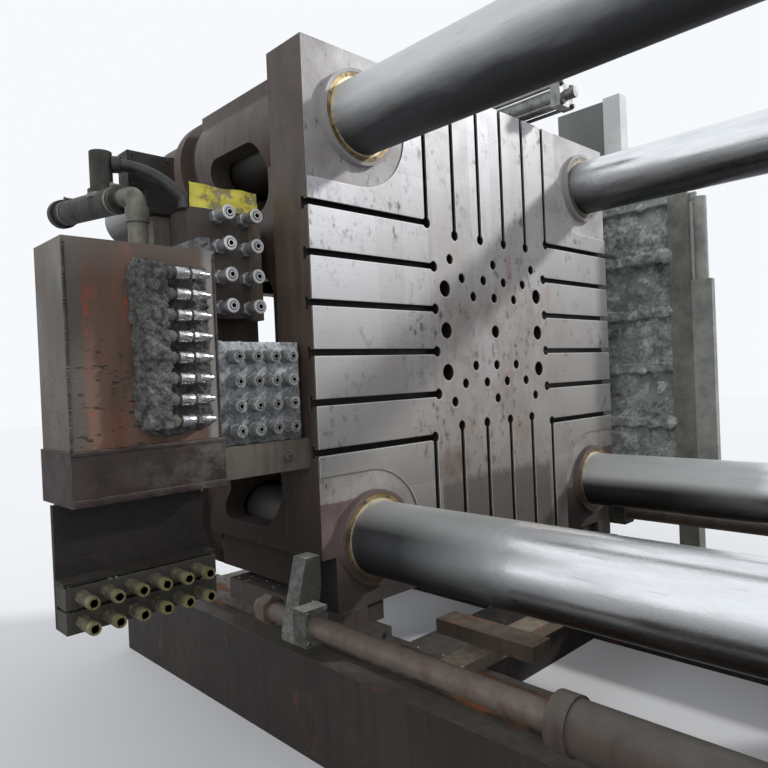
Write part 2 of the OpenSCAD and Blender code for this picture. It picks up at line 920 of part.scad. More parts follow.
module guard_panel() {
    step = (guard_h - ledge) / guard_fields;
    color(crust_grey) {
        block([guard_from, guard_y, guard_low], [guard_to, guard_y + guard_t, guard_high]);
        for (i = [0 : guard_fields])
            translate([0, 0, guard_low + i * step])
                block([guard_from, guard_y - ledge, 0], [guard_to, guard_y, ledge]);
        block([guard_from, guard_y, guard_high], [guard_from + upper_sheet_l, guard_y + guard_t, guard_high + upper_sheet_h]);
    }
}

// Post on a foot that reaches the bed, with a pipe beside it and a shorter post on the panel.
module guard_post() {
    post_to = guard_to + post_w;
    plate_to = post_to + 135;
    plate_high = guard_low + guard_plate_h;
    pipe_high = plate_high + guard_pipe_l;
    upper_from = guard_from + upper_sheet_l;
    color(crust_grey) {
        block([guard_to, guard_y - ledge, 0], [post_to, guard_y + ledge, guard_high]);
        block([guard_to, beam_out, 0], [post_to, guard_y - ledge, 120]);
        block([post_to, guard_y - ledge, guard_low], [plate_to, guard_y, plate_high]);
        translate([post_to + guard_pipe_r + 19, guard_y, plate_high - ledge])
            cylinder(h = guard_pipe_l + ledge, r = guard_pipe_r);
        block([post_to, guard_y - 10, pipe_high - 10], [post_to + guard_pipe_r, guard_y + 10, pipe_high + ledge - 10]);
        block([upper_from, guard_y - ledge, guard_high],
            [upper_from + upper_post_w, guard_y + ledge, guard_high + upper_sheet_h]);
    }
}

module side_console() {
    color(paint_brown) {
        block([-console_x, -box_in, skirt_low], [-console_x + console_t, -box_half_w, axis_h + console_rise]);
        block([-console_x + console_t, -box_in, skirt_low + 5],
            [-console_beam_x, -half_w, skirt_low + 5 + console_beam_h]);
    }
}

module upper_port_block() {
    back = -upper_block_x - upper_block_d;
    bottom = upper_top - upper_block_h;
    inner = upper_out - upper_plate_w;
    color(port_brown) {
        block([back, -upper_out, bottom], [-upper_block_x, -inner, upper_top]);
        block([back, -inner, bottom], [-upper_block_x - upper_step, -half_w, upper_top]);
    }
}

// A quick coupling half: a hexagon foot, a ribbed sleeve and a bored nose.
module fitting(length) {
    body_r = fitting_d / 2;
    difference() {
        union() {
            rod_x(0, length * 0.3, body_r + 9, $fn = 6);
            rod_x(0, length, body_r);
            rod_x(length * 0.5, length * 0.82, body_r + 4);
        }
        rod_x(length * 0.7, length + eps, body_r * 0.45);
    }
}

module upper_port_fittings() {
    color(fitting_steel)
        for (column = upper_columns, i = [0 : 3])
            translate([-upper_block_x, column - upper_out, upper_top - upper_block_h + upper_first + i * upper_pitch])
                fitting(upper_fitting_l);
}

module tag_plate() {
    color(tag_yellow)
        block([-upper_block_x - 10, -upper_out, upper_top],
            [-upper_block_x - 4, -upper_out + 315, upper_top + 111]);
}

module lower_port_block() {
    color(port_blue)
        block([-lower_block_x - lower_block_d, -lower_out, skirt_low + 5 + console_beam_h],
            [-lower_block_x, -half_w - lower_gap, skirt_low + 5 + console_beam_h + lower_block_h]);
}

module lower_port_fittings() {
    middle_z = skirt_low + 5 + console_beam_h + lower_block_h / 2;
    color(fitting_steel)
        for (i = [-1.5 : 1.5], j = [-1.5 : 1.5])
            translate([-lower_block_x, i * lower_pitch_y - lower_middle, middle_z + j * lower_pitch_z])
                fitting(lower_fitting_l);
}

module valve_box() {
    color(paint_red)
        block([-box_back, -box_reach, box_low], [-box_front, -box_in, box_top]);
}

module valve_box_skirt() {
    color(paint_red)
        block([-box_back, -box_reach - skirt_proud, skirt_low], [0, -box_in, box_low]);
}

module coupling_block() {
    out = -box_reach + coupling_out;
    in = -box_in - coupling_in;
    bottom = box_low + 25;
    top = bottom + 575;
    color(crust_grey) {
        along_x(-box_front, coupling_plate_t - box_front)
            polygon([[out + 25, top], [in, top - 15], [in, bottom + 25],
                [out + 85, bottom], [out + 10, bottom + 40], [out, top - 35]]);
        translate([coupling_plate_t - box_front, out + 10, bottom + 25])
            cube([coupling_bar[0], coupling_bar[1], coupling_bar_h]);
    }
}

module quick_couplings() {
    first = box_low + 70;
    color(fitting_steel)
        for (i = [0 : coupling_count - 1])
            translate([coupling_plate_t - box_front + coupling_bar[0] / 2,
                    -box_reach + coupling_out + 10 + coupling_bar[1], first + i * coupling_pitch])
                rotate([0, 0, 90])
                    fitting(coupling_l);
}

// Box column under the skirt, with a front plate for the return bars and a drip angle above them.
module valve_column() {
    plate_low = return_levels[1] - return_bar_h / 2;
    angle_top = return_top + 71;
    color(paint_red) {
        block([-column_front - column_w, -column_out, skirt_low - column_h], [-column_front, -column_in, skirt_low]);
        block([-column_front, -return_out, plate_low], [-return_plate_x, -column_in, skirt_low]);
        along_y(-return_out - 5, -column_in)
            polygon([[-return_plate_x, angle_top - 65], [-return_plate_x + return_bar_d, angle_top - 65],
                [-return_plate_x + return_bar_d, angle_top - 55], [-return_plate_x + 10, angle_top - 55],
                [-return_plate_x + 10, angle_top], [-return_plate_x, angle_top]]);
    }
}

module return_bars() {
    color(bed_dark)
        for (z = return_levels)
            translate([0, 0, z])
                block([-return_plate_x, -return_out, -return_bar_h / 2],
                    [-return_plate_x + return_bar_d, -column_in, return_bar_h / 2]);
}

module return_fittings() {
    color(fitting_olive)
        for (i = [0 : return_count - 1], z = return_levels)
            translate([-return_plate_x + return_bar_d, -return_out + 48 + i * return_pitch, z])
                fitting(return_fitting_l);
}

// Pipe that rises from the valve box and bends backwards into a large hose with an upright branch.
module return_pipe() {
    rise = pipe_z - box_top - pipe_bend;
    slope = 6.3;
    color(steel_dull)
        translate([pipe_x, pipe_y, box_top]) {
            cylinder(h = rise, r = return_pipe_r);
            translate([0, 0, rise - 53])
                cylinder(h = 53, r = return_pipe_r + 7);
            translate([-pipe_bend, 0, rise])
                rotate([90, 0, 0])
                    rotate_extrude(angle = 90)
                        translate([pipe_bend, 0])
                            circle(r = return_pipe_r);
            translate([-pipe_bend, 0, rise + pipe_bend])
                rotate([0, slope, 0]) {
                    rod_x(-90, 0, return_pipe_r);
                    rod_x(-690, -80, return_hose_r);
                    rod_x(-700, -660, return_hose_r + 10);
                }
            translate([bow_x - pipe_x, 0, rise + pipe_bend + 20]) {
                cylinder(h = 206, r = branch_r);
                cylinder(h = 60, r = branch_r + 10);
            }
        }
}

// Black hose from the upright branch to a socket on the upper port block.
module bow_hose() {
    color(hose_black)
        translate([bow_x, pipe_y, bow_z])
            rotate([0, 0, -bow_turn])
                translate([0, branch_r + seat_gap, 0]) {
                    rotate([90, 0, 90])
                        rotate([0, 0, bow_from])
                            rotate_extrude(angle = 90 - bow_from)
                                translate([bow_r, 0])
                                    circle(r = bow_hose_r);
                    translate([0, 0, bow_r])
                        rotate([-90, 0, 0])
                            cylinder(h = 30, r = bow_hose_r + 8);
                    translate([0, bow_r * cos(bow_from), upper_top - bow_z])
                        cylinder(h = 48, r = bow_hose_r + 9);
                }
}

// Box on a block that stands on the upper port block.
module terminal_box() {
    front = -upper_block_x - upper_block_d - 20;
    foot_top = upper_top + terminal_foot_h;
    color(crust_grey) {
        block([front - terminal_d, -upper_out - 154, foot_top],
            [front, -upper_out - 154 + terminal_w, foot_top + terminal_h]);
        block([front - terminal_d, -upper_out - 104, upper_top], [front + 45, -upper_out + 68, foot_top]);
    }
}

color(bed_dark) mirror([0, 1, 0]) bed_beam();  // bed_beam_near
color(bed_dark) bed_beam();  // bed_beam_far
bed_cross_members();
guide_strips();
fixed_platen();
fixed_platen_feet();
sleeve_ring();
tie_bar(near, high);  // tie_bar_upper_near
tie_bar(far, high);  // tie_bar_upper_far
tie_bar(near, low);  // tie_bar_lower_near
tie_bar(far, low);  // tie_bar_lower_far
tie_bar_nuts();
travel_barrels();
barrel_brackets();
rest_bar();
rest_slab();
guard_panel();
guard_post();
moving_platen();
moving_platen_feet();
slide_shoes();
bar_bushes();
lock_housings();
lock_cylinders();
ejector_cylinder();
top_cylinder();
side_console();
upper_port_block();
upper_port_fittings();
tag_plate();
lower_port_block();
lower_port_fittings();
valve_box();
valve_box_skirt();
coupling_block();
quick_couplings();
valve_column();
return_bars();
return_fittings();
return_pipe();
bow_hose();
terminal_box();
travel_brackets();
travel_clamps();
travel_rods();
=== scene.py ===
import math
import random
import bmesh
import bpy
from mathutils import Matrix, Vector, noise


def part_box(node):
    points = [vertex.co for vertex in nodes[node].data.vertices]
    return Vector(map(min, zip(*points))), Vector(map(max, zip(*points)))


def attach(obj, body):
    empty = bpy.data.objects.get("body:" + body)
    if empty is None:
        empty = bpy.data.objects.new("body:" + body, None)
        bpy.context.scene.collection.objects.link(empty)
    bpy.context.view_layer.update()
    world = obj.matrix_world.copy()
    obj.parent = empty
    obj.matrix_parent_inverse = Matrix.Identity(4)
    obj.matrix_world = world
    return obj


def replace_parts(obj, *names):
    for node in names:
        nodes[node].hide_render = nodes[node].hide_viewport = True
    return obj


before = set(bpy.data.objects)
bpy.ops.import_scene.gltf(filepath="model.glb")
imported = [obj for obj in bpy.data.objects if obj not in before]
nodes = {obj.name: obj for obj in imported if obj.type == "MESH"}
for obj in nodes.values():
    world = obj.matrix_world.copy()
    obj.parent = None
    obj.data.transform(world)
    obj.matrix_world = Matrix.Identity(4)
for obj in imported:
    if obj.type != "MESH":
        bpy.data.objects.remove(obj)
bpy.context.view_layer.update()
random.seed(11)

# Camera at the place worked out from the slots and holes of the platen face.
# It stands on the operator's side, about 1.5 m above the floor, in front of the moving platen.
CAMERA_PLACE = Vector((2.101, -2.845, 1.544))
CAMERA_YAW, CAMERA_PITCH, CAMERA_ROLL = math.radians(46.05), math.radians(0.65), math.radians(2.46)
FOCAL_LENGTH_MM = 31.53
SENSOR_WIDTH_MM = 36
NEAR_CLIP, FAR_CLIP = 0.02, 100

camera_lens = bpy.data.cameras.new("camera")
camera_lens.sensor_width = SENSOR_WIDTH_MM
camera_lens.lens = FOCAL_LENGTH_MM
camera_lens.clip_start = NEAR_CLIP
camera_lens.clip_end = FAR_CLIP
camera = bpy.data.objects.new("camera", camera_lens)
camera.matrix_world = (Matrix.Translation(CAMERA_PLACE) @ Matrix.Rotation(CAMERA_YAW, 4, "Z")
    @ Matrix.Rotation(math.pi / 2 - CAMERA_PITCH, 4, "X") @ Matrix.Rotation(-CAMERA_ROLL, 4, "Z"))
bpy.context.collection.objects.link(camera)
bpy.context.scene.camera = camera
bpy.context.scene.view_settings.view_transform = "Standard"


# Studio with a pale floor and an even pale sky.
# The main light comes from high beyond the far side, as from a hall's windows, and throws soft shadows.
# A weak wide light from the operator's side stands for the hall's lamps.
FLOOR_SIZE = 60
FLOOR_LIT, FLOOR_SEEN = (0.40, 0.40, 0.41, 1), (0.86, 0.87, 0.89, 1)
SKY_STRENGTH = 0.70
SKY_TINT, SKY_SEEN = (0.95, 0.97, 1.0, 1), (0.93, 0.95, 0.98, 1)
LIGHT_TINT = (1.0, 0.99, 0.97)
LIGHTS = (("window_light", Vector((0.62, 0.83, 0.55)), 1.75, math.radians(4.5)),
    ("lamp_light", Vector((0.45, -0.85, 0.45)), 0.7, math.radians(50)))
MIX_FIRST, MIX_SECOND, MIX_OUT = 6, 7, 2

for light_name, light_from, strength, softness in LIGHTS:
    light = bpy.data.lights.new(light_name, "SUN")
    light.energy = strength
    light.angle = softness
    light.color = LIGHT_TINT
    lamp = bpy.data.objects.new(light_name, light)
    lamp.rotation_euler = light_from.to_track_quat("Z", "Y").to_euler()
    bpy.context.collection.objects.link(lamp)

sky = bpy.data.worlds.new("sky")
bpy.context.scene.world = sky
sky.use_nodes = True
sky_nodes, sky_links = sky.node_tree.nodes, sky.node_tree.links
sky_light = sky_nodes["Background"]
sky_light.inputs["Color"].default_value = SKY_TINT
sky_light.inputs["Strength"].default_value = SKY_STRENGTH
sky_seen = sky_nodes.new("ShaderNodeBackground")
sky_seen.inputs["Color"].default_value = SKY_SEEN
sky_path = sky_nodes.new("ShaderNodeLightPath")
sky_seen_ray = sky_path.outputs["Is Camera Ray"]
for other_ray in ("Is Glossy Ray", "Is Transmission Ray"):
    either = sky_nodes.new("ShaderNodeMath")
    either.operation = "MAXIMUM"
    sky_links.new(sky_seen_ray, either.inputs[0])
    sky_links.new(sky_path.outputs[other_ray], either.inputs[1])
    sky_seen_ray = either.outputs[0]
sky_mix = sky_nodes.new("ShaderNodeMixShader")
for socket, source in enumerate((sky_seen_ray, sky_light.outputs[0], sky_seen.outputs[0])):
    sky_links.new(source, sky_mix.inputs[socket])
sky_links.new(sky_mix.outputs[0], sky_nodes["World Output"].inputs["Surface"])

floor_mesh = bmesh.new()
bmesh.ops.create_grid(floor_mesh, x_segments=2, y_segments=2, size=FLOOR_SIZE / 2)
floor_data = bpy.data.meshes.new("studio_floor")
floor_mesh.to_mesh(floor_data)
floor_mesh.free()
studio_floor = bpy.data.objects.new("studio_floor", floor_data)
bpy.context.collection.objects.link(studio_floor)
floor_paint = bpy.data.materials.new("floor_paint")
floor_paint.use_nodes = True
floor_nodes, floor_links = floor_paint.node_tree.nodes, floor_paint.node_tree.links
floor_tone = floor_nodes.new("ShaderNodeMix")
floor_tone.data_type = "RGBA"
floor_tone.inputs[MIX_FIRST].default_value = FLOOR_LIT
floor_tone.inputs[MIX_SECOND].default_value = FLOOR_SEEN
floor_links.new(floor_nodes.new("ShaderNodeLightPath").outputs["Is Camera Ray"], floor_tone.inputs[0])
floor_shader = floor_nodes["Principled BSDF"]
floor_links.new(floor_tone.outputs[MIX_OUT], floor_shader.inputs["Base Color"])
floor_shader.inputs["Roughness"].default_value = 0.9
floor_data.materials.append(floor_paint)


# Bed: two long welded beams with a low inner ledge, joined by cross members.
# Painted dark brown, and covered in years of oil, dust and dried release agent.
BED_BROWN = (50, 45, 41)
BED_GRIME = (20, 19, 18)
BED_RUST = (104, 64, 40)
BED_DUST = (92, 88, 82)
CHIPPED_STEEL = (122, 117, 110)
ROUND_CORNERS = 24
WELD_LEG = 0.009
WELD_INSET = 0.002
MEMBER_WIDTH = 0.28
STILL, MOVING = "machine_frame", "moving_platen_unit"


def shader_colour(red, green, blue, factor=1):
    """Colour as a shader takes it, from the 0 to 255 values of a colour chart, made darker or paler."""
    return tuple(min(1, (value / 255) ** 2.2 * factor) for value in (red, green, blue)) + (1,)


def times(colour, factor):
    return shader_colour(*colour, factor)


class Finish:
    """A painted, machined or rusty surface, mixed from patterns that lie in the machine's own frame."""

    def __init__(self, name, roughness=0.5, metallic=0.0):
        self.material = bpy.data.materials.new(name)
        self.material.use_nodes = True
        self.tree = self.material.node_tree
        self.shader = self.tree.nodes["Principled BSDF"]
        self.shader.inputs["Roughness"].default_value = roughness
        self.shader.inputs["Metallic"].default_value = metallic
        coordinates = self.tree.nodes.new("ShaderNodeTexCoord")
        self.place = coordinates.outputs["Object"]
        self.normal = coordinates.outputs["Normal"]
        self.surface = None

    def feed(self, socket, value):
        """Links a pattern to a socket, or sets a number or a colour; three values are a chart colour."""
        if isinstance(value, bpy.types.NodeSocket):
            self.tree.links.new(value, socket)
        else:
            from_chart = isinstance(value, tuple) and len(value) == 3
            socket.default_value = shader_colour(*value) if from_chart else value

    def node(self, kind, sockets, **settings):
        """Adds a node with its settings and with what each of its sockets gets."""
        made = self.tree.nodes.new(kind)
        for setting, value in settings.items():
            setattr(made, setting, value)
        for socket, value in sockets.items():
            self.feed(made.inputs[socket], value)
        return made.outputs

    def patches(self, size, detail=5, roughness=0.6, stretch=(1, 1, 1), shift=(0, 0, 0)):
        """Cloudy pattern around 0.5, with patches of about this size in metres."""
        scaled = self.node("ShaderNodeMapping", {"Vector": self.place, "Location": list(shift),
            "Scale": [1 / (size * way) for way in stretch]})
        return self.node("ShaderNodeTexNoise", {"Vector": scaled[0], "Scale": 1.0, "Detail": detail,
            "Roughness": roughness})[0]

    def spread(self, value, low, high, to_low=0.0, to_high=1.0):
        """Stretches the part of a pattern between low and high to a new range and cuts off the rest."""
        return self.node("ShaderNodeMapRange", {"Value": value, "From Min": low, "From Max": high,
            "To Min": to_low, "To Max": to_high})[0]

    def blots(self, size, low, high, detail=5, roughness=0.6, stretch=(1, 1, 1), shift=(0, 0, 0),
            to=(0.0, 1.0)):
        """Patches of about this size, of which only the part between low and high is left."""
        return self.spread(self.patches(size, detail, roughness, stretch, shift), low, high, *to)

    def math(self, kind, first, second=0.0):
        return self.node("ShaderNodeMath", {0: first, 1: second}, operation=kind)[0]

    def both(self, first, second):
        return self.math("MULTIPLY", first, second)

    def plus(self, first, second):
        return self.math("ADD", first, second)

    def less(self, first, second):
        return self.math("SUBTRACT", first, second)

    def off_zero(self, value):
        return self.math("ABSOLUTE", value)

    def mixed(self, share, first, second):
        return self.node("ShaderNodeMix", {0: share, MIX_FIRST: first, MIX_SECOND: second},
            data_type="RGBA")[MIX_OUT]

    def tones(self, dark, pale, *pattern, **more):
        """Two colours in blots."""
        return self.mixed(self.blots(*pattern, **more), dark, pale)

    def over(self, shade, *layers):
        """Lays colours over a shade, each by a share of a mask, which may be a value and its low and high."""
        for mask, share, colour in layers:
            mask = self.spread(*mask) if isinstance(mask, tuple) else mask
            shade = self.mixed(mask if share == 1 else self.both(mask, share), shade, colour)
        return shade

    def part_of(self, vector, letter):
        return self.node("ShaderNodeSeparateXYZ", {0: vector})[letter]

    def axis(self, letter):
        return self.part_of(self.place, letter)

    def facing(self, letter, low, high):
        """1 where the surface looks along an axis, from the tilt low to the tilt high."""
        return self.spread(self.part_of(self.normal, letter), low, high)

    def each_step(self, value, step, seed):
        """The same random number from 0 to 1 all over each step of a value."""
        steps = self.plus(self.math("FLOOR", self.math("DIVIDE", value, step)), seed)
        return self.node("ShaderNodeTexWhiteNoise", {"W": steps}, noise_dimensions="1D")["Value"]

    def away(self, first, second):
        """Distance from a middle that two values are measured from."""
        return self.math("SQRT", self.plus(self.both(first, first), self.both(second, second)))

    def near_spot(self, first, second, radius):
        """1 in the middle of a round spot and 0 from its radius on."""
        return self.spread(self.away(first, second), radius, 0.0)

    def relief(self, height, depth):
        """Raises and sinks the surface by a pattern, this deep in metres."""
        under = {"Normal": self.surface} if self.surface else {}
        self.surface = self.node("ShaderNodeBump", {"Distance": depth, "Height": height, **under})[0]

    def rounding(self, width, samples=4):
        """Normal as it would be if every edge had a small radius."""
        return self.node("ShaderNodeBevel", {"Radius": width}, samples=samples)[0]

    def worn_edges(self, width):
        """1 along the edges of a piece and 0 on its flats."""
        flat = self.node("ShaderNodeNewGeometry", {})["Normal"]
        likeness = self.node("ShaderNodeVectorMath", {0: self.rounding(width, 2), 1: flat},
            operation="DOT_PRODUCT")
        return self.spread(likeness["Value"], 0.995, 0.90)

    def done(self, colour, roughness=None, metallic=None):
        for socket, value in (("Base Color", colour), ("Roughness", roughness), ("Metallic", metallic),
                ("Normal", self.surface)):
            if value is not None:
                self.feed(self.shader.inputs[socket], value)
        return self.material


def old_paint(name, paint, grime, rust, dust, rust_share=0.35, rust_size=0.2, runs=0.5, chips=0.6):
    """Shop paint with grime in runs, rust in patches, chipped edges and dust on what faces up."""
    coat = Finish(name, 0.55)
    run = coat.blots(0.045, 0.44, 0.74, 5, 0.6, (1, 1, 9))
    rust_from = 0.68 - rust_share * 0.25
    rusty = coat.blots(rust_size, rust_from, rust_from + 0.1, 8, 0.66, (1, 1, 1.8), (3, 1, 7))
    speck = coat.blots(0.014, 0.60, 0.74, 3, 0.7)
    lying = coat.both(coat.facing("Z", 0.35, 0.95), coat.blots(0.06, 0.30, 0.62, 6, to=(0.4, 0.95)))
    chipped = coat.both(coat.worn_edges(0.004), coat.blots(0.03, 0.42, 0.60, 4))
    shade = coat.over(coat.tones(times(paint, 0.75), times(paint, 1.2), 0.45, 0.35, 0.65, 4),
        (run, runs, grime), (rusty, 0.65, rust), (speck, 0.3, grime), (lying, 1, dust),
        (chipped, chips, CHIPPED_STEEL))
    coat.relief(coat.patches(0.012, 4), 0.0014)
    coat.relief(rusty, 0.0010)
    return coat.done(shade, coat.blots(0.09, 0.3, 0.7, 4, to=(0.42, 0.75)))


def coat_nodes(material, *names):
    for name in names:
        nodes[name].data.materials.clear()
        nodes[name].data.materials.append(material)


def standing(place, axis, turn=0.0):
    """Matrix that stands a shape made along +Z on a place, looking along an axis."""
    return (Matrix.Translation(place) @ Vector(axis).to_track_quat("Z", "Y").to_matrix().to_4x4()
        @ Matrix.Rotation(turn, 4, "Z"))


def loft(mesh, rings, where=Matrix(), colours=None):
    """Closed skin over rings given as radius, height and number of corners, which is left out where round."""
    loops = []
    for radius, height, *corners in rings:
        made = bmesh.ops.create_circle(mesh, segments=corners[0] if corners else ROUND_CORNERS, radius=radius,
            matrix=where @ Matrix.Translation((0, 0, height)))
        loops.append(list({edge for vert in made["verts"] for edge in vert.link_edges}))
    for step, (lower, upper) in enumerate(zip(loops, loops[1:])):
        for face in bmesh.ops.bridge_loops(mesh, edges=lower + upper)["faces"]:
            face.material_index = colours[step] if colours else 0
    for step in (0, -1):
        for face in bmesh.ops.contextual_create(mesh, geom=loops[step])["faces"]:
            face.material_index = colours[step] if colours else 0


def copies(mesh, pattern, spots):
    """Adds a finished small mesh at each place and axis, each turned differently, as hands leave them."""
    data = bpy.data.meshes.new("pattern")
    pattern.to_mesh(data)
    pattern.free()
    for place, axis in spots:
        first = len(mesh.verts)
        mesh.from_mesh(data)
        mesh.verts.ensure_lookup_table()
        turned = standing(place, axis, random.uniform(0, math.pi))
        bmesh.ops.transform(mesh, matrix=turned, verts=mesh.verts[first:])
    bpy.data.meshes.remove(data)


def bead(mesh, start, end, leg=WELD_LEG):
    """Rippled weld bead along a straight joint."""
    run = end - start
    ripples = max(3, int(run.length / (leg * 0.9)))
    rings = []
    for i in range(ripples + 1):
        swell = leg * (0.72 + 0.28 * (i % 2)) * random.uniform(0.9, 1.1)
        rings.append((swell if 0 < i < ripples else swell * 0.4, run.length * i / ripples, 8))
    loft(mesh, rings, standing(start, run))


def piece(name, mesh, materials, body, smooth=38):
    """Makes an object of a finished mesh, gives it its materials and lets it ride on a body."""
    bmesh.ops.recalc_face_normals(mesh, faces=mesh.faces)
    for face in mesh.faces:
        face.smooth = True
    for edge in mesh.edges:
        edge.smooth = len(edge.link_faces) == 2 and edge.calc_face_angle(0) < math.radians(smooth)
    data = bpy.data.meshes.new(name)
    mesh.to_mesh(data)
    mesh.free()
    for material in materials:
        data.materials.append(material)
    made = bpy.data.objects.new(name, data)
    bpy.context.collection.objects.link(made)
    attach(made, body)
    return made


bed_paint = old_paint("bed_paint", BED_BROWN, BED_GRIME, BED_RUST, BED_DUST)
coat_nodes(bed_paint, "bed_beam_near", "bed_beam_far", "bed_cross_members", "fixed_platen_feet",
    "barrel_brackets")

member_low, member_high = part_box("bed_cross_members")
member_ends = (member_low.x, member_low.x + MEMBER_WIDTH)
bed_welds = bmesh.new()
for side in (-1, 1):
    edge_y = side * (member_high.y - WELD_INSET)
    bead(bed_welds, Vector((member_low.x + WELD_INSET, edge_y, member_high.z)),
        Vector((member_low.x + MEMBER_WIDTH - WELD_INSET, edge_y, member_high.z)))
    for end_x in member_ends:
        bead(bed_welds, Vector((end_x, edge_y, 0.01)), Vector((end_x, edge_y, member_high.z - WELD_INSET)))
piece("bed_welds", bed_welds, [bed_paint], STILL)


# Guide strips of hardened steel on the beams, with the bar and the slab that lie across them.
# Bare steel, rusted orange beside the shoes' track and caked with pale dust elsewhere.
def rusty_steel(name, steel, dust, rust, rust_share=0.5, stretch=(2.5, 1, 1)):
    bare = Finish(name)
    lying = bare.both(bare.facing("Z", 0.5, 0.9), bare.blots(0.05, 0.35, 0.60, 6))
    flame = bare.blots(0.09, 0.62 - rust_share * 0.2, 0.72 - rust_share * 0.1, 8, 0.72, stretch, (1, 5, 2))
    shade = bare.over(bare.tones(times(steel, 0.55), steel, 0.20, 0.35, 0.65, 6, 0.7), (lying, 0.7, dust),
        (flame, 0.8, rust))
    bare.relief(bare.patches(0.012, 6, 0.7), 0.002)
    return bare.done(shade, bare.spread(flame, 0, 1, 0.5, 0.85), bare.spread(flame, 0, 1, 0.35, 0.0))


coat_nodes(rusty_steel("strip_steel", (66, 62, 58), (112, 106, 98), (150, 86, 40), 0.7, (4, 0.7, 1)),
    "guide_strips")
coat_nodes(rusty_steel("slab_steel", (96, 86, 75), (124, 114, 101), (142, 86, 48)), "rest_slab")
coat_nodes(rusty_steel("rest_bar_steel", (138, 127, 112), (160, 150, 134), (146, 92, 54), 0.4), "rest_bar")


# Platens: thick steel castings with T-slots in their milled die faces.
# The corner pads lie a few millimetres deeper than the face and keep their paint.
SLOT_PITCH = 0.2
SLOT_ENDS = 0.46
STRIP_CUT = 0.165
PLATEN_BROWN = (78, 68, 61)
PLATEN_GRIME = (34, 30, 28)
PLATEN_RUST = (84, 60, 47)
SOOT_SPOTS = ((-0.76, 0.60, 0.20), (-0.52, 0.02, 0.26), (-0.50, -0.45, 0.22), (0.10, -0.15, 0.26),
    (0.25, 0.30, 0.30), (-0.05, -0.55, 0.34))
axis_height = (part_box("bar_bushes")[0].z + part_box("bar_bushes")[1].z) / 2
bar_low = (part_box("tie_bar_lower_near")[0].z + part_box("tie_bar_lower_near")[1].z) / 2 - axis_height
platen_half = (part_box("moving_platen")[1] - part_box("moving_platen")[0]) / 2


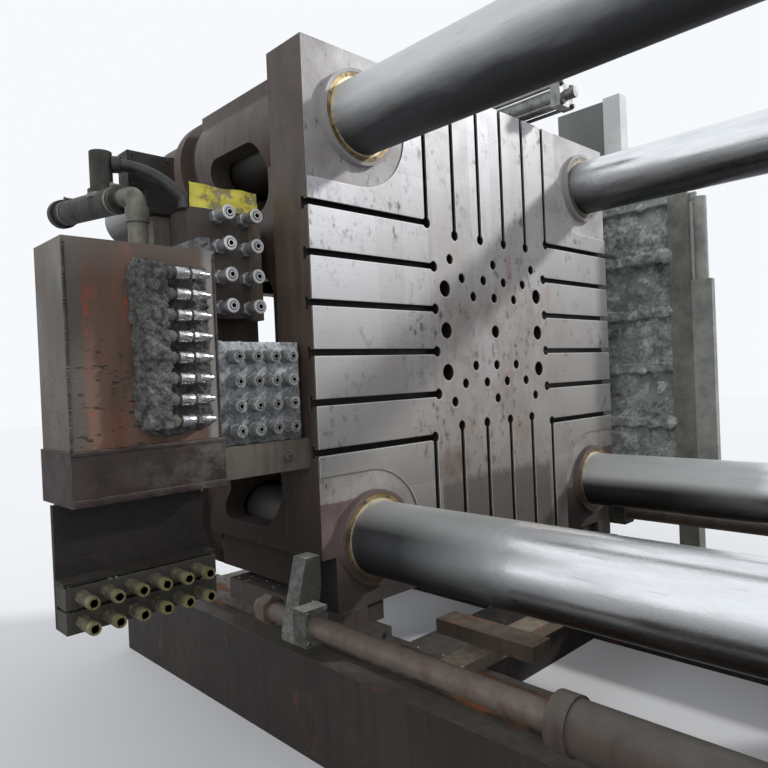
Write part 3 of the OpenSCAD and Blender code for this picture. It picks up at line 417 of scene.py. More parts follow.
def platen_casting(name, face_at, outward):
    """Painted casting; its milled face is bright and carries painted light and shade, its pads are worn, and
    each slat has its own tone.
    """
    cast = Finish(name)
    forward = cast.both(cast.less(cast.axis("X"), face_at), outward)
    milled = cast.spread(forward, -0.0012, -0.0006)
    pad = cast.spread(forward, -0.0080, -0.0065)
    height = cast.less(cast.axis("Z"), axis_height)
    across = cast.axis("Y")
    off_middle = cast.off_zero(across)

    run = cast.blots(0.045, 0.44, 0.72, 5, 0.6, (1, 1, 10))
    rust = cast.blots(0.13, 0.54, 0.68, 8, 0.66, (1, 1, 2.2), (3, 1, 7))
    low = cast.spread(height, -0.45, -0.85)
    chip = cast.both(cast.worn_edges(0.005), cast.blots(0.04, 0.44, 0.60, 4))
    # Inside the slots and holes the paint is near-black, as painted shade in the recesses.
    within_slots = cast.both(cast.spread(forward, -0.16, -0.15), cast.both(
        cast.spread(off_middle, platen_half.y - 0.004, platen_half.y - 0.008),
        cast.spread(cast.off_zero(height), platen_half.z - 0.004, platen_half.z - 0.008)))
    paint = cast.over(cast.tones(times(PLATEN_BROWN, 0.8), times(PLATEN_BROWN, 1.15), 0.5, 0.35, 0.65, 4),
        (run, 0.5, PLATEN_GRIME), (rust, 0.6, PLATEN_RUST), (low, 0.85, (34, 23, 20)),
        (chip, 0.6, (140, 134, 126)), (within_slots, 0.9, (26, 23, 20)))

    wet = cast.blots(0.16, 0.38, 0.62, 6)
    drip = cast.blots(0.03, 0.35, 0.65, 3, 0.6, (1, 1, 4), to=(-0.004, 0.004))
    inner = cast.spread(off_middle, 0.92, 0.80, 0.0, 0.2)
    above_tide = cast.spread(cast.plus(cast.plus(height, drip), inner), -0.712, -0.704)
    soaked = cast.mixed(wet, (94, 80, 77), (112, 99, 97))
    # Below the lower bars the pads are painted dark, as painted shade.
    below_bar_shade = cast.spread(height, bar_low - 0.02, bar_low - 0.16)
    below_bar_shade_tone = cast.mixed(cast.spread(off_middle, 1.1, 0.8), (64, 56, 51), (44, 43, 41))
    bare_pad = cast.mixed(wet, (168, 164, 163), (196, 194, 195))
    in_shade = cast.both(cast.spread(across, -0.98, -1.12), cast.spread(height, 0.2, 0.4))
    gouge = cast.blots(0.03, 0.60, 0.66, 6, 0.7, (1, 1, 2), (4, 4, 4))
    wall = cast.spread(forward, -0.0056, -0.0050)
    pad_paint = cast.over(cast.mixed(above_tide, soaked, cast.mixed(wet, (136, 132, 127), (156, 153, 149))),
        (below_bar_shade, 0.85, below_bar_shade_tone), ((height, -0.1, 0.1), 1, bare_pad),
        (in_shade, 0.5, (104, 98, 98)), (gouge, 0.6, (48, 42, 38)), (wall, 0.85, (44, 40, 36)))

    # The near upper part of the face is painted near-white, as a painted pool of light.
    lit_corner = cast.both(cast.spread(across, -0.35, -1.0), cast.spread(height, -0.2, 0.5))
    beside = cast.spread(off_middle, SLOT_ENDS - 0.005, SLOT_ENDS + 0.005)
    between = cast.less(1.0, beside)
    on_sides = cast.each_step(cast.plus(height, SLOT_PITCH / 2), SLOT_PITCH, 3.0)
    on_ends = cast.each_step(cast.plus(across, SLOT_PITCH / 2), SLOT_PITCH, 9.0)
    slat = cast.plus(cast.both(beside, on_sides), cast.both(between, on_ends))
    cut = cast.each_step(cast.plus(across, cast.blots(0.5, 0.3, 0.7, 1, to=(-0.01, 0.01))), STRIP_CUT, 5.0)
    # Each side slat is painted darker towards its lower edge, as painted shade.
    within = cast.math("FRACT", cast.math("DIVIDE", cast.plus(height, SLOT_PITCH / 2), SLOT_PITCH))
    middle = cast.near_spot(across, cast.plus(height, 0.10), 0.85)
    brown = cast.blots(0.20, 0.42, 0.66, 8, 0.70, (1, 1, 1.4), (2, 8, 4))
    tint = cast.both(cast.spread(middle, 0.0, 0.7), cast.plus(cast.both(brown, 0.45), 0.12))
    streak = cast.blots(0.09, 0.54, 0.68, 6, 0.6, (1, 1, 3.0), (1, 6, 3))
    soot = cast.blots(0.05, 0.53, 0.64, 9, 0.74, (1, 1, 1.5), (5, 2, 9))
    spots = cast.blots(0.33, 0.46, 0.60, 3, 0.5, shift=(7, 3, 1))
    for spot_y, spot_z, spot_size in SOOT_SPOTS:
        here = cast.near_spot(cast.less(across, spot_y), cast.less(height, spot_z), spot_size)
        spots = cast.math("MAXIMUM", spots, cast.spread(here, 0.0, 0.5))
    mark = cast.blots(0.016, 0.66, 0.72, 4, 0.7, shift=(3, 3, 3))
    tide_wave = cast.blots(0.25, 0.3, 0.7, 5, 0.6, (1, 1, 4), to=(-0.02, 0.02))
    tide = cast.spread(cast.plus(height, tide_wave), -0.70, -0.74)
    stain = cast.near_spot(cast.plus(across, 0.38), cast.both(cast.plus(height, 0.64), 1.6), 0.16)
    stained = cast.both(cast.spread(stain, 0.0, 0.5), cast.spread(brown, 0.0, 1.0, 0.35, 0.9))
    foot = cast.both(cast.spread(height, -0.45, -1.05), cast.blots(0.12, 0.35, 0.6, 6, to=(0.4, 0.9)))
    scratch = cast.blots(0.010, 0.42, 0.60, 2, 0.5, (1, 30, 1))
    # Rounded edges that face up or towards the near side are painted near-white as painted highlights, and
    # those that face down are painted dark as painted shade.
    round_edge = cast.rounding(0.007)
    edge_up, edge_near = cast.part_of(round_edge, "Z"), cast.part_of(round_edge, "Y")
    # The face is painted lighter at the top and darker towards the bottom and the far side, as painted light
    # and shade.
    metal = cast.over(cast.mixed(cast.spread(height, 1.0, -0.9), (212, 214, 219), (156, 152, 147)),
        ((across, -0.4, 1.2, 0.0, 0.22), 1, (128, 126, 124)), (lit_corner, 0.7, (244, 246, 252)),
        ((slat, 0.0, 1.0, 0.0, 0.18), 1, (130, 126, 122)),
        ((cut, 0.0, 1.0, 0.0, 0.34), 1, (150, 140, 132)),
        (cast.both(beside, cast.spread(within, 0.9, 0.1)), 0.16, (96, 94, 92)), (tint, 1, (116, 98, 84)),
        (cast.both(streak, cast.spread(middle, 0.0, 0.4)), 0.45, (150, 118, 98)),
        (cast.both(soot, spots), 0.85, (58, 50, 46)), (mark, 0.45, (70, 62, 58)),
        (cast.both(tide, between), 0.70, (76, 73, 66)), (stained, 1, (92, 66, 52)), (foot, 0.7, (84, 80, 74)),
        (scratch, 0.05, (90, 88, 86)), ((edge_up, -0.06, -0.35), 0.6, (64, 60, 56)),
        ((edge_up, 0.06, 0.30), 0.95, (246, 246, 248)),
        ((edge_near, -0.06, -0.30), 0.8, (236, 236, 238)))

    cast.relief(cast.both(cast.patches(0.012, 4), cast.spread(milled, 0.0, 1.0, 1.0, 0.12)), 0.0010)
    dull = cast.both(cast.less(1.0, milled), cast.spread(height, 0.3, -0.7, 0.0, 0.95))
    rough = cast.math("MAXIMUM", cast.blots(0.12, 0.3, 0.7, 4, to=(0.42, 0.58)), dull)
    shade = cast.mixed(milled, cast.mixed(pad, paint, pad_paint), metal)
    return cast.done(shade, rough, cast.both(milled, 0.2))


coat_nodes(platen_casting("fixed_casting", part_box("fixed_platen")[0].x, -1), "fixed_platen")
coat_nodes(platen_casting("moving_casting", 0.0, 1), "moving_platen")


# Sleeve ring in the fixed platen, where the shot sleeve enters, held by cap screws.
# Turned steel, dull and oily; the same steel is used for the nuts and small cylinders.
SLEEVE_SCREWS = 8
SLEEVE_BORE = 0.130


def dull_steel(name, steel, stain, roughness=0.45, metallic=0.6):
    bare = Finish(name)
    tone = bare.blots(0.10, 0.35, 0.65, 6, 0.65)
    film = bare.blots(0.05, 0.50, 0.66, 7, 0.7, (1, 1, 2), (4, 4, 1))
    bare.relief(bare.patches(0.006, 4), 0.0006)
    return bare.done(bare.over(bare.mixed(tone, times(steel, 0.7), steel), (film, 0.7, stain)),
        bare.spread(tone, 0, 1, roughness + 0.15, roughness - 0.08), metallic)


def socket_screw(radius):
    """Cap screw head with a chamfered rim and a hexagon socket."""
    head = bmesh.new()
    loft(head, [(radius, 0), (radius, radius * 0.85), (radius * 0.9, radius), (radius * 0.55, radius, 6),
        (radius * 0.55, radius * 0.4, 6)])
    return head


def hex_screw(radius):
    """Hexagon head with a chamfered top on a washer."""
    head = bmesh.new()
    loft(head, [(radius * 1.35, 0), (radius * 1.35, radius * 0.2), (radius, radius * 0.2, 6),
        (radius, radius * 0.85, 6), (radius * 0.84, radius * 0.97, 18), (radius * 0.4, radius * 0.97, 18)])
    return head


def ring(at, middle, radius, count, way=1, start=0.0):
    """Places on a circle round a line along X, with the way that they look."""
    turns = [start + i * 2 * math.pi / count for i in range(count)]
    return [(Vector((at, middle.y, middle.z)) + Vector((0, radius * math.sin(turn), radius * math.cos(turn))),
        (way, 0, 0)) for turn in turns]


def grid(x, rows, levels):
    """Places at one x, on rows along Y and on levels, that look along X."""
    return [(Vector((x, y, z)), (1, 0, 0)) for y in rows for z in levels]


def screws(name, body, *sets, steel=None, slot_name="dull_steel"):
    """Makes one piece of sets of screw heads, each with its places."""
    mesh = bmesh.new()
    for head, spots in sets:
        copies(mesh, head, spots)
    piece(name, mesh, [steel or screw_steel], body)


plain_steel = dull_steel("plain_steel", (122, 120, 116), (66, 56, 48))
screw_steel = dull_steel("screw_steel", (92, 90, 87), (42, 38, 34), 0.42)
coat_nodes(plain_steel, "sleeve_ring", "tie_bar_nuts", "lock_cylinders", "ejector_cylinder")
sleeve_low, sleeve_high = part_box("sleeve_ring")
sleeve_middle = Vector((0, 0, ((sleeve_low + sleeve_high) / 2).z))
sleeve_circle = (sleeve_high.y - sleeve_low.y) / 4 + SLEEVE_BORE / 2
screws("sleeve_screws", STILL,
    (socket_screw(0.012), ring(sleeve_low.x, sleeve_middle, sleeve_circle, SLEEVE_SCREWS, -1)))


# Tie bars: forged steel, ground and chromed; their undersides are painted dark, as painted shade and
# reflection.
# Near the moving platen a matt grey film of dried spray covers them.
# Below a level on the bar's side the film is painted darker, as painted shade.
BAR_FILMS = (("tie_bar_upper_near", 0.92, 2.5, (200, 203, 205), -0.75, (120, 122, 124)),
    ("tie_bar_upper_far", 0.55, 0.15, (110, 112, 112), -0.75, (60, 61, 63)),
    ("tie_bar_lower_near", 0.85, 0.74, (174, 179, 177), 0.86, (60, 61, 64)),
    ("tie_bar_lower_far", 0.85, 1.00, (206, 210, 209), 0.30, (66, 68, 68)))


def chromed_bar(bar, film_share, film_to, film_colour, film_shade_below, film_shade_colour):
    chrome = Finish("chrome_" + bar[8:])
    low_corner, high_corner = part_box(bar)
    radius = (high_corner.z - low_corner.z) / 2
    along = chrome.axis("X")
    up = chrome.math("DIVIDE", chrome.less(chrome.axis("Z"), ((low_corner + high_corner) / 2).z), radius)
    wave = chrome.blots(0.12, 0.3, 0.7, 5, 0.6, (4, 1, 1), to=(-0.15, 0.15))
    # The underside is painted dark, as painted shade and reflection.
    under = chrome.spread(chrome.plus(up, wave), 0.05, -0.7)
    smear = chrome.blots(0.06, 0.40, 0.70, 6, 0.65, (5, 1, 1), (2, 2, 2))
    ragged = chrome.blots(0.10, 0.3, 0.7, to=(-0.05, 0.05))
    matt = chrome.both(chrome.spread(chrome.plus(along, ragged), film_to + 0.05, film_to - 0.05), film_share)
    # Below a level the film is painted darker, as painted shade.
    film_shade = chrome.both(chrome.spread(up, film_shade_below, film_shade_below - 0.42),
        chrome.spread(along, film_to + 0.1, film_to - 0.45))
    # Behind the platen the bar is painted darker, as grease and painted shade.
    behind = chrome.math("MINIMUM", chrome.spread(along, -0.42, -0.50, 0.0, 0.85),
        chrome.spread(along, -1.20, -1.00, 0.55, 0.85))
    streak = chrome.blots(0.012, 0.60, 0.72, 5, 0.6, (14, 1, 1), (6, 2, 4))
    shade = chrome.over((240, 243, 245), (smear, 0.35, (176, 180, 182)), (matt, 1, film_colour),
        (film_shade, 0.95, film_shade_colour), (under, 0.9, (36, 37, 39)), (behind, 1, (60, 57, 53)),
        (streak, 0.25, (96, 94, 92)))
    chrome.relief(chrome.patches(0.010, 3), 0.0003)
    return chrome.done(shade, chrome.plus(chrome.spread(smear, 0, 1, 0.22, 0.36), chrome.both(matt, 0.25)),
        chrome.less(1.0, chrome.both(matt, 0.45)))


for bar_film in BAR_FILMS:
    coat_nodes(chromed_bar(*bar_film), bar_film[0])


# Round nuts outside the fixed platen, each clamped on its bar by a ring of cap screws.
# The nuts are turned steel, stained brown by oil.
NUT_SCREWS = 10
nut_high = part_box("tie_bar_nuts")[1]
bar_boxes = [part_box(film[0]) for film in BAR_FILMS]
bar_radius = (bar_boxes[0][1].z - bar_boxes[0][0].z) / 2
bar_centres = [Vector((0, (low.y + high.y) / 2, (low.z + high.z) / 2)) for low, high in bar_boxes]
nut_circle = (nut_high.y - bar_centres[1].y + bar_radius) / 2


def bar_rings(at, radius, count, way, start=0.0):
    """The same ring of places round each of the four bars."""
    return [spot for centre in bar_centres for spot in ring(at, centre, radius, count, way, start)]


screws("nut_screws", STILL, (socket_screw(0.016), bar_rings(nut_high.x, nut_circle, NUT_SCREWS, 1)))


# Feet and slide shoes that carry the moving platen on the strips, with a wiper at each shoe's front.
# Brown paint above, bare oily steel at the shoes; three bolts hold each wiper.
SHOE_INNER = 0.889
SHOE_BOLT_PITCH = 0.074
SHOE_BOLT_LEVEL = 0.030
foot_paint = old_paint("foot_paint", (66, 58, 54), (34, 31, 29), (76, 54, 44), (98, 94, 88), 0.3, 0.14)
coat_nodes(foot_paint, "moving_platen_feet")
coat_nodes(dull_steel("shoe_steel", (88, 86, 82), (58, 50, 44), 0.55, 0.3), "slide_shoes")
shoe_low, shoe_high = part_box("slide_shoes")
shoe_middle = (shoe_high.y + SHOE_INNER) / 2
wiper_rows = [side * (shoe_middle + step * SHOE_BOLT_PITCH) for side in (-1, 1) for step in (-1, 0, 1)]
screws("wiper_bolts", MOVING,
    (hex_screw(0.0105), grid(shoe_high.x, wiper_rows, [shoe_low.z + SHOE_BOLT_LEVEL])))


# Bronze bushes in the platen's bores, whose flanges are held by small screws.
# Beside the bar the flange is worn and carries a painted highlight, and outside it is smeared with brown
# grease.
BUSH_SCREW_CIRCLE = 0.1735
BUSH_SCREWS = 8
BUSH_SUNK = 0.005
BUSH_WORN_HIGHLIGHT_TO = 0.165
BUSH_FLANGE, BUSH_RECESS = 0.183, 0.185
bush = Finish("bush_bronze")
bush_y = bush.axis("Y")
bush_above = bush.less(bush.axis("Z"), axis_height)
bush_across = bush.less(bush.off_zero(bush_y), bar_centres[1].y)
bush_up = bush.less(bush.off_zero(bush_above), bar_centres[0].z - axis_height)
bush_out = bush.away(bush_across, bush_up)
bush_tone = bush.blots(0.09, 0.36, 0.64)
bush_grease = bush.blots(0.05, 0.50, 0.64, 6, 0.7, shift=(3, 9, 2))
bush_upper = bush.spread(bush_above, -0.1, 0.1)
bush_far_up = bush.both(bush.spread(bush_y, -0.1, 0.1), bush_upper)
# Below the lower bars the bush and its pad are painted darker, as painted shade.
bush_below_bar_shade = bush.spread(bush_above, bar_low - 0.03, bar_low - 0.11)
bush_pad = bush.over(bush.mixed(bush_upper, (98, 86, 83), (150, 147, 147)), (bush_below_bar_shade, 0.8, (62, 54, 50)),
    ((bush_out, BUSH_RECESS + 0.001, BUSH_RECESS - 0.001), 1, (46, 38, 32)))
# The band beside the bar is painted pale, as wear and a painted highlight.
bush_shade = bush.over(bush.mixed(bush_tone, (106, 88, 60), (164, 142, 98)),
    ((bush_out, BUSH_WORN_HIGHLIGHT_TO + 0.0015, BUSH_WORN_HIGHLIGHT_TO - 0.0015), 0.8, (214, 204, 174)),
    (bush_grease, 0.6, (78, 62, 46)), (bush_far_up, 0.75, (104, 100, 95)), (bush_below_bar_shade, 0.85, (76, 66, 56)),
    ((bush_out, BUSH_FLANGE - 0.001, BUSH_FLANGE + 0.001), 1, bush_pad))
bush.relief(bush.patches(0.006, 4), 0.0006)
coat_nodes(bush.done(bush_shade, bush.spread(bush_tone, 0, 1, 0.58, 0.40),
    bush.spread(bush_out, BUSH_FLANGE - 0.001, BUSH_FLANGE + 0.001, 0.45, 0.0)), "bar_bushes")
screws("bush_screws", MOVING, (socket_screw(0.0065),
    bar_rings(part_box("bar_bushes")[1].x - BUSH_SUNK, BUSH_SCREW_CIRCLE, BUSH_SCREWS, 1, 0.35)))


# Lock housings behind the moving platen, where split nuts grip the grooved bars, with their cylinders.
# Castings in the platen's brown paint, held by large cap screws.
LOCK_SCREWS = 12
LOCK_SCREW_CIRCLE = 0.270
LOCK_FLANGE_BACK = -1.07
LOCK_CYLINDER_AT = -1.235
LOCK_CYLINDER_SCREWS = (-0.038, 0.038)
casting_paint = old_paint("casting_paint", PLATEN_BROWN, PLATEN_GRIME, PLATEN_RUST, (94, 90, 84))
coat_nodes(casting_paint, "lock_housings", "travel_barrels")
lock_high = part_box("lock_cylinders")[1]
screws("lock_screws", MOVING,
    (socket_screw(0.017), bar_rings(LOCK_FLANGE_BACK, LOCK_SCREW_CIRCLE, LOCK_SCREWS, -1, 0.26)),
    (socket_screw(0.009), [
        (Vector((LOCK_CYLINDER_AT + along, side * lock_high.y, centre.z + up)), (0, side, 0))
        for side in (-1, 1) for centre in bar_centres[::2] for along in LOCK_CYLINDER_SCREWS
        for up in LOCK_CYLINDER_SCREWS]))


# Ejector cylinder on the back of the moving platen.
# Its flange and its end cap are each held by a ring of screws.
EJECTOR_RINGS = ((-1.06, 0.37, 16, 0.017), (-1.52, 0.155, 8, 0.012))
screws("ejector_screws", MOVING,
    *((socket_screw(head_radius), ring(at, Vector((0, 0, axis_height)), circle, count, -1, 0.2))
    for at, circle, count, head_radius in EJECTOR_RINGS))


# Small cylinder that lies on top of the platen, with square heads held by four tie rods.
# Bright steel with pale dust; a nut closes each rod.
TOP_AXIS = Vector((0, 0.500, 3.045))
TOP_RODS = (-0.052, 0.052)
TOP_FRONT, TOP_HEAD_BACK = 0.170, 0.012
coat_nodes(dull_steel("cylinder_steel", (146, 148, 147), (66, 64, 60), 0.4), "top_cylinder")
top_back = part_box("top_cylinder")[0].x + TOP_HEAD_BACK
screws("top_cylinder_nuts", MOVING, (hex_screw(0.013), [(TOP_AXIS + Vector((at, out, up)), (way, 0, 0))
    for at, way in ((top_back, -1), (TOP_FRONT, 1)) for out in TOP_RODS for up in TOP_RODS]))


# Brackets, clamps and rods that join the moving platen to its travel cylinders.
# Plate steel crusted grey with dried release agent; the rods are dull and brown.
TRAVEL_OUT = 1.280
CLAMP_BOLTS_OUT, CLAMP_BOLTS_UP = 0.043, 0.054
GLAND_SCREWS, GLAND_CIRCLE = 6, 0.060
BRACKET_TOP = Vector((0, -1.262, 0.842))
BRACKET_BOTTOM = Vector((0, -1.347, 0.515))


def crusted(name, dark, pale, lump=0.05, depth=0.004, dust_share=0.0, oil_share=0.0):
    """Dried release agent; dust_share whitens what faces up and oil_share darkens what faces the die."""
    crust = Finish(name, 0.85)
    pit = crust.blots(lump * 0.4, 0.56, 0.42, 6, 0.75)
    white = crust.blots(lump * 0.8, 0.60, 0.70, 7, 0.75, shift=(8, 3, 3))
    shade = crust.over(crust.tones(dark, pale, lump * 2.5, 0.34, 0.66, 7, 0.7), (pit, 0.5, times(dark, 0.4)),
        (white, 0.45, (168, 170, 168)), (crust.facing("Z", 0.5, 0.9), dust_share, (186, 184, 176)),
        (crust.facing("X", 0.5, 0.9), oil_share, (58, 54, 50)))
    crust.relief(crust.patches(lump * 0.5, 8, 0.7), depth)
    return crust.done(shade, crust.spread(pit, 0, 1, 0.75, 0.9))


def joined_copy(node):
    """Copy of a solid, with its loose triangles joined."""
    mesh = bmesh.new()
    mesh.from_mesh(nodes[node].data)
    bmesh.ops.remove_doubles(mesh, verts=mesh.verts, dist=1e-5)
    return mesh


def cut_off(mesh, place, outward):
    """Takes off what lies beyond a plane, and closes the cut."""
    bmesh.ops.bisect_plane(mesh, geom=mesh.verts[:] + mesh.edges[:] + mesh.faces[:], plane_co=place,
        plane_no=outward, clear_outer=True)
    bmesh.ops.holes_fill(mesh, edges=mesh.edges, sides=0)


bracket_crust = crusted("bracket_crust", (88, 90, 86), (126, 129, 124), 0.06, 0.002, 0.5, 0.75)
brackets = joined_copy("travel_brackets")
bracket_slope = (BRACKET_TOP - BRACKET_BOTTOM).cross(Vector((1, 0, 0)))
cut_off(brackets, BRACKET_TOP, Vector((0, 0, 1)))
for side in (-1, 1):
    cut_off(brackets, Vector((0, -side * BRACKET_TOP.y, BRACKET_TOP.z)),
        Vector((0, side * abs(bracket_slope.y), abs(bracket_slope.z))))
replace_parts(piece("sloped_brackets", brackets, [bracket_crust], MOVING), "travel_brackets")
coat_nodes(crusted("clamp_crust", (70, 70, 66), (104, 104, 99), 0.05, 0.002, 0.75), "travel_clamps")
coat_nodes(dull_steel("rod_steel", (116, 106, 98), (98, 74, 56), 0.5, 0.35), "travel_rods")
clamp_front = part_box("travel_clamps")[1].x
rod_level = (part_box("travel_rods")[0].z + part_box("travel_rods")[1].z) / 2
clamp_rows = [side * TRAVEL_OUT + out for side in (-1, 1) for out in (-CLAMP_BOLTS_OUT, CLAMP_BOLTS_OUT)]
clamp_levels = (rod_level - CLAMP_BOLTS_UP, rod_level + CLAMP_BOLTS_UP)
screws("travel_bolts", MOVING, (hex_screw(0.0095), grid(clamp_front, clamp_rows, clamp_levels)),
    steel=bracket_crust, slot_name="crusted_steel")

barrel_low, barrel_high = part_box("travel_barrels")
screws("gland_bolts", STILL, (socket_screw(0.0075), [spot for side in (-1, 1)
    for at, way in ((barrel_low.x, -1), (barrel_high.x, 1))
    for spot in ring(at, Vector((0, side * TRAVEL_OUT, rod_level)), GLAND_CIRCLE, GLAND_SCREWS, way, 0.3)]))


# Side console: a wall and a beam of steel plate that carry the port blocks beside the platen.
# Brown paint, darkened by oil, with grey dried spray on its edges.
CONSOLE_BOLT = (-0.06, [-1.30], [1.245])
console_paint = old_paint("console_paint", (100, 94, 86), (50, 46, 42), (88, 66, 56), (112, 110, 103), 0.3)
coat_nodes(console_paint, "side_console")
screws("console_bolt", MOVING, (hex_screw(0.016), grid(*CONSOLE_BOLT)),
    steel=bracket_crust, slot_name="crusted_steel")


# Upper port block with eight plug-in nipples for the hoses to the die's core pullers.
# Plated steel nipples with a hexagon foot and a collar whose face is painted near-white as a painted
# highlight, on a block in old brown-grey paint.
UPPER_FACE = -0.300
UPPER_ROWS = (1.847, 1.969, 2.091, 2.213)
UPPER_COLUMNS = (-1.430, -1.305)
port = Finish("port_paint")
port_shade = port.over(port.tones((70, 65, 60), (91, 85, 80), 0.16, 0.35, 0.65, 6),
    ((port.axis("Y"), -1.285, -1.265), 0.8, (150, 134, 118)),
    ((port.axis("Z"), 2.1, 1.85), 0.35, (48, 42, 38)),
    (port.blots(0.03, 0.50, 0.70, 5, 0.6, (1, 1, 7)), 0.45, (44, 39, 36)))
port.relief(port.patches(0.012, 4), 0.0012)
coat_nodes(port.done(port_shade, port.blots(0.1, 0.3, 0.7, to=(0.45, 0.7))), "upper_port_block")

plated = dull_steel("plated", (188, 190, 194), (92, 88, 84), 0.36, 0.7)
# The collar faces are painted near-white, as a painted highlight.
collar_highlight = dull_steel("collar_highlight", (240, 241, 244), (180, 176, 172), 0.4, 0.15)
# The bores are painted near-black, as painted shade inside the holes.
bore = Finish("bore_shade")
bore.relief(bore.patches(0.004), 0.0004)
bore_shade = bore.done(bore.mixed(bore.patches(0.01), (12, 11, 11), (26, 24, 23)),
    bore.blots(0.02, 0.3, 0.7, to=(0.5, 0.7)))


def nipple(foot, neck, body, collar, length):
    """Hose nipple: hexagon foot, neck, body, collar whose face takes the third material, and an open bore."""
    part = bmesh.new()
    outline = ((foot, 0, 6), (foot, 0.24, 6), (foot * 0.86, 0.26), (neck, 0.26), (neck, 0.32), (body, 0.33),
        (body, 0.66), (neck, 0.68), (neck, 0.73), (collar * 0.94, 0.74), (collar, 0.76), (collar, 0.95),
        (collar * 0.92, 0.97), (collar * 0.62, 0.97), (collar * 0.60, 0.94), (collar * 0.52, 0.94),
        (collar * 0.50, 1), (collar * 0.32, 1), (collar * 0.30, 0.8))
    loft(part, [(radius, length * share, *corners) for radius, share, *corners in outline],
        colours=[0] * 11 + [2, 2, 1, 1, 0, 2, 1])
    return part


def nipple_set(name, node, spots, part, materials):
    """Replaces the plain nipples of a node by detailed ones at the same places."""
    mesh = bmesh.new()
    copies(mesh, part, spots)
    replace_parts(piece(name, mesh, materials, MOVING), node)


nipple_set("upper_nipples", "upper_port_fittings", grid(UPPER_FACE, UPPER_COLUMNS, UPPER_ROWS),
    nipple(0.0310, 0.0190, 0.0225, 0.0290, 0.110), [plated, bore_shade, collar_highlight])


# Yellow tag on the block's top edge: thin plastic sheet, bent and dirty.
# It is bare of any words.
TAG_SHEET = 0.0015
tag_low, tag_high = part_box("tag_plate")
tag_size = tag_high - tag_low
tag = Finish("tag_yellow")
tag_blot = tag.blots(0.055, 0.52, 0.58, shift=(2, 4, 1))
tag_orange = tag.blots(0.04, 0.60, 0.68, shift=(6, 1, 2))
tag_shade = tag.over(tag.tones((226, 214, 88), (246, 236, 108), 0.09, 0.35, 0.65),
    (tag_blot, 0.7, (124, 118, 122)), (tag_orange, 0.5, (190, 138, 60)))
tag.relief(tag.patches(0.02, 3), 0.001)
tag_yellow = tag.done(tag_shade, tag.spread(tag_blot, 0, 1, 0.42, 0.7))
tag_mesh = bmesh.new()
bmesh.ops.create_grid(tag_mesh, x_segments=12, y_segments=34, size=0.5)
for vert in tag_mesh.verts:
    up, along = vert.co.x + 0.5, vert.co.y + 0.5
    bend = 0.0045 * math.sin(along * 9.0 + up * 2.0) + 0.006 * noise.noise(Vector((along * 5, up * 3, 1.3)))
    droop = 0.012 * noise.noise(Vector((along * 3, 4.0, 0)))
    vert.co = Vector((tag_low.x + 0.006 + bend, tag_low.y + tag_size.y * along,
        tag_low.z + 0.004 + (tag_size.z - 0.016 + droop) * up))
bmesh.ops.solidify(tag_mesh, geom=tag_mesh.faces[:], thickness=TAG_SHEET)
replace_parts(piece("yellow_tag", tag_mesh, [tag_yellow], MOVING, 60), "tag_plate")


# Lower port block with sixteen small nipples, half buried in dried release agent.
# The crust is blue-grey, lumpy and matt.
CRUST_GRAIN = 0.0045
LOWER_FACE = -0.080
LOWER_MIDDLE = 1.5025
LOWER_ROWS = (-0.1365, -0.0455, 0.0455, 0.1365)
LOWER_COLUMNS = (-1.521, -1.441, -1.361, -1.281)


def crust_over(name, node, material, body, grain, lump, height, cut_at=None, bare_side=2.0):
    """Copy of a solid's surface, lumpy as under a dried crust; it sinks in where it faces a bare side."""
    skin = joined_copy(node)
    if cut_at is not None:
        cut_off(skin, cut_at, (0, 0, 1))
    bmesh.ops.recalc_face_normals(skin, faces=skin.faces)
    block_data = bpy.data.meshes.new("crust_block")
    skin.to_mesh(block_data)
    skin.free()
    block = bpy.data.objects.new("crust_block", block_data)
    bpy.context.collection.objects.link(block)
    even = block.modifiers.new("even", "REMESH")
    even.mode = "VOXEL"
    even.voxel_size = grain
    shaped = bpy.data.meshes.new_from_object(block.evaluated_get(bpy.context.evaluated_depsgraph_get()))
    bpy.data.objects.remove(block)
    crust = bmesh.new()
    crust.from_mesh(shaped)
    crust.normal_update()
    for vert in crust.verts:
        knobs = noise.turbulence(vert.co / lump, 4, True)
        swell = noise.noise(vert.co / (lump * 4))
        rise = 1.25 * knobs + 0.6 * swell - 0.35
        vert.co += vert.normal * height * (rise if vert.normal.y < bare_side else -0.2)
    return piece(name, crust, [material], body, 80)


crust = Finish("port_crust")
crust_pit = crust.blots(0.02, 0.52, 0.40, 6, 0.75)
crust_shade = crust.over(crust.tones((150, 155, 160), (214, 217, 221), 0.09, 0.34, 0.66, 7, 0.7),
    ((crust.axis("Z"), 1.62, 1.33), 0.7, (68, 69, 68)), (crust_pit, 0.6, (48, 48, 46)))
crust.relief(crust.patches(0.012, 8, 0.7), 0.002)
port_crust = crust.done(crust_shade, crust.spread(crust_pit, 0, 1, 0.75, 0.9))
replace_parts(crust_over("lower_block_crust", "lower_port_block", port_crust, MOVING,
    CRUST_GRAIN, 0.055, 0.006), "lower_port_block")

nipple_crust = crusted("nipple_crust", (84, 86, 87), (168, 170, 172), 0.02, 0.001)
nipple_set("lower_nipples", "lower_port_fittings",
    grid(LOWER_FACE, LOWER_COLUMNS, [LOWER_MIDDLE + row for row in LOWER_ROWS]),
    nipple(0.0300, 0.0190, 0.0225, 0.0240, 0.060), [nipple_crust, bore_shade, nipple_crust])


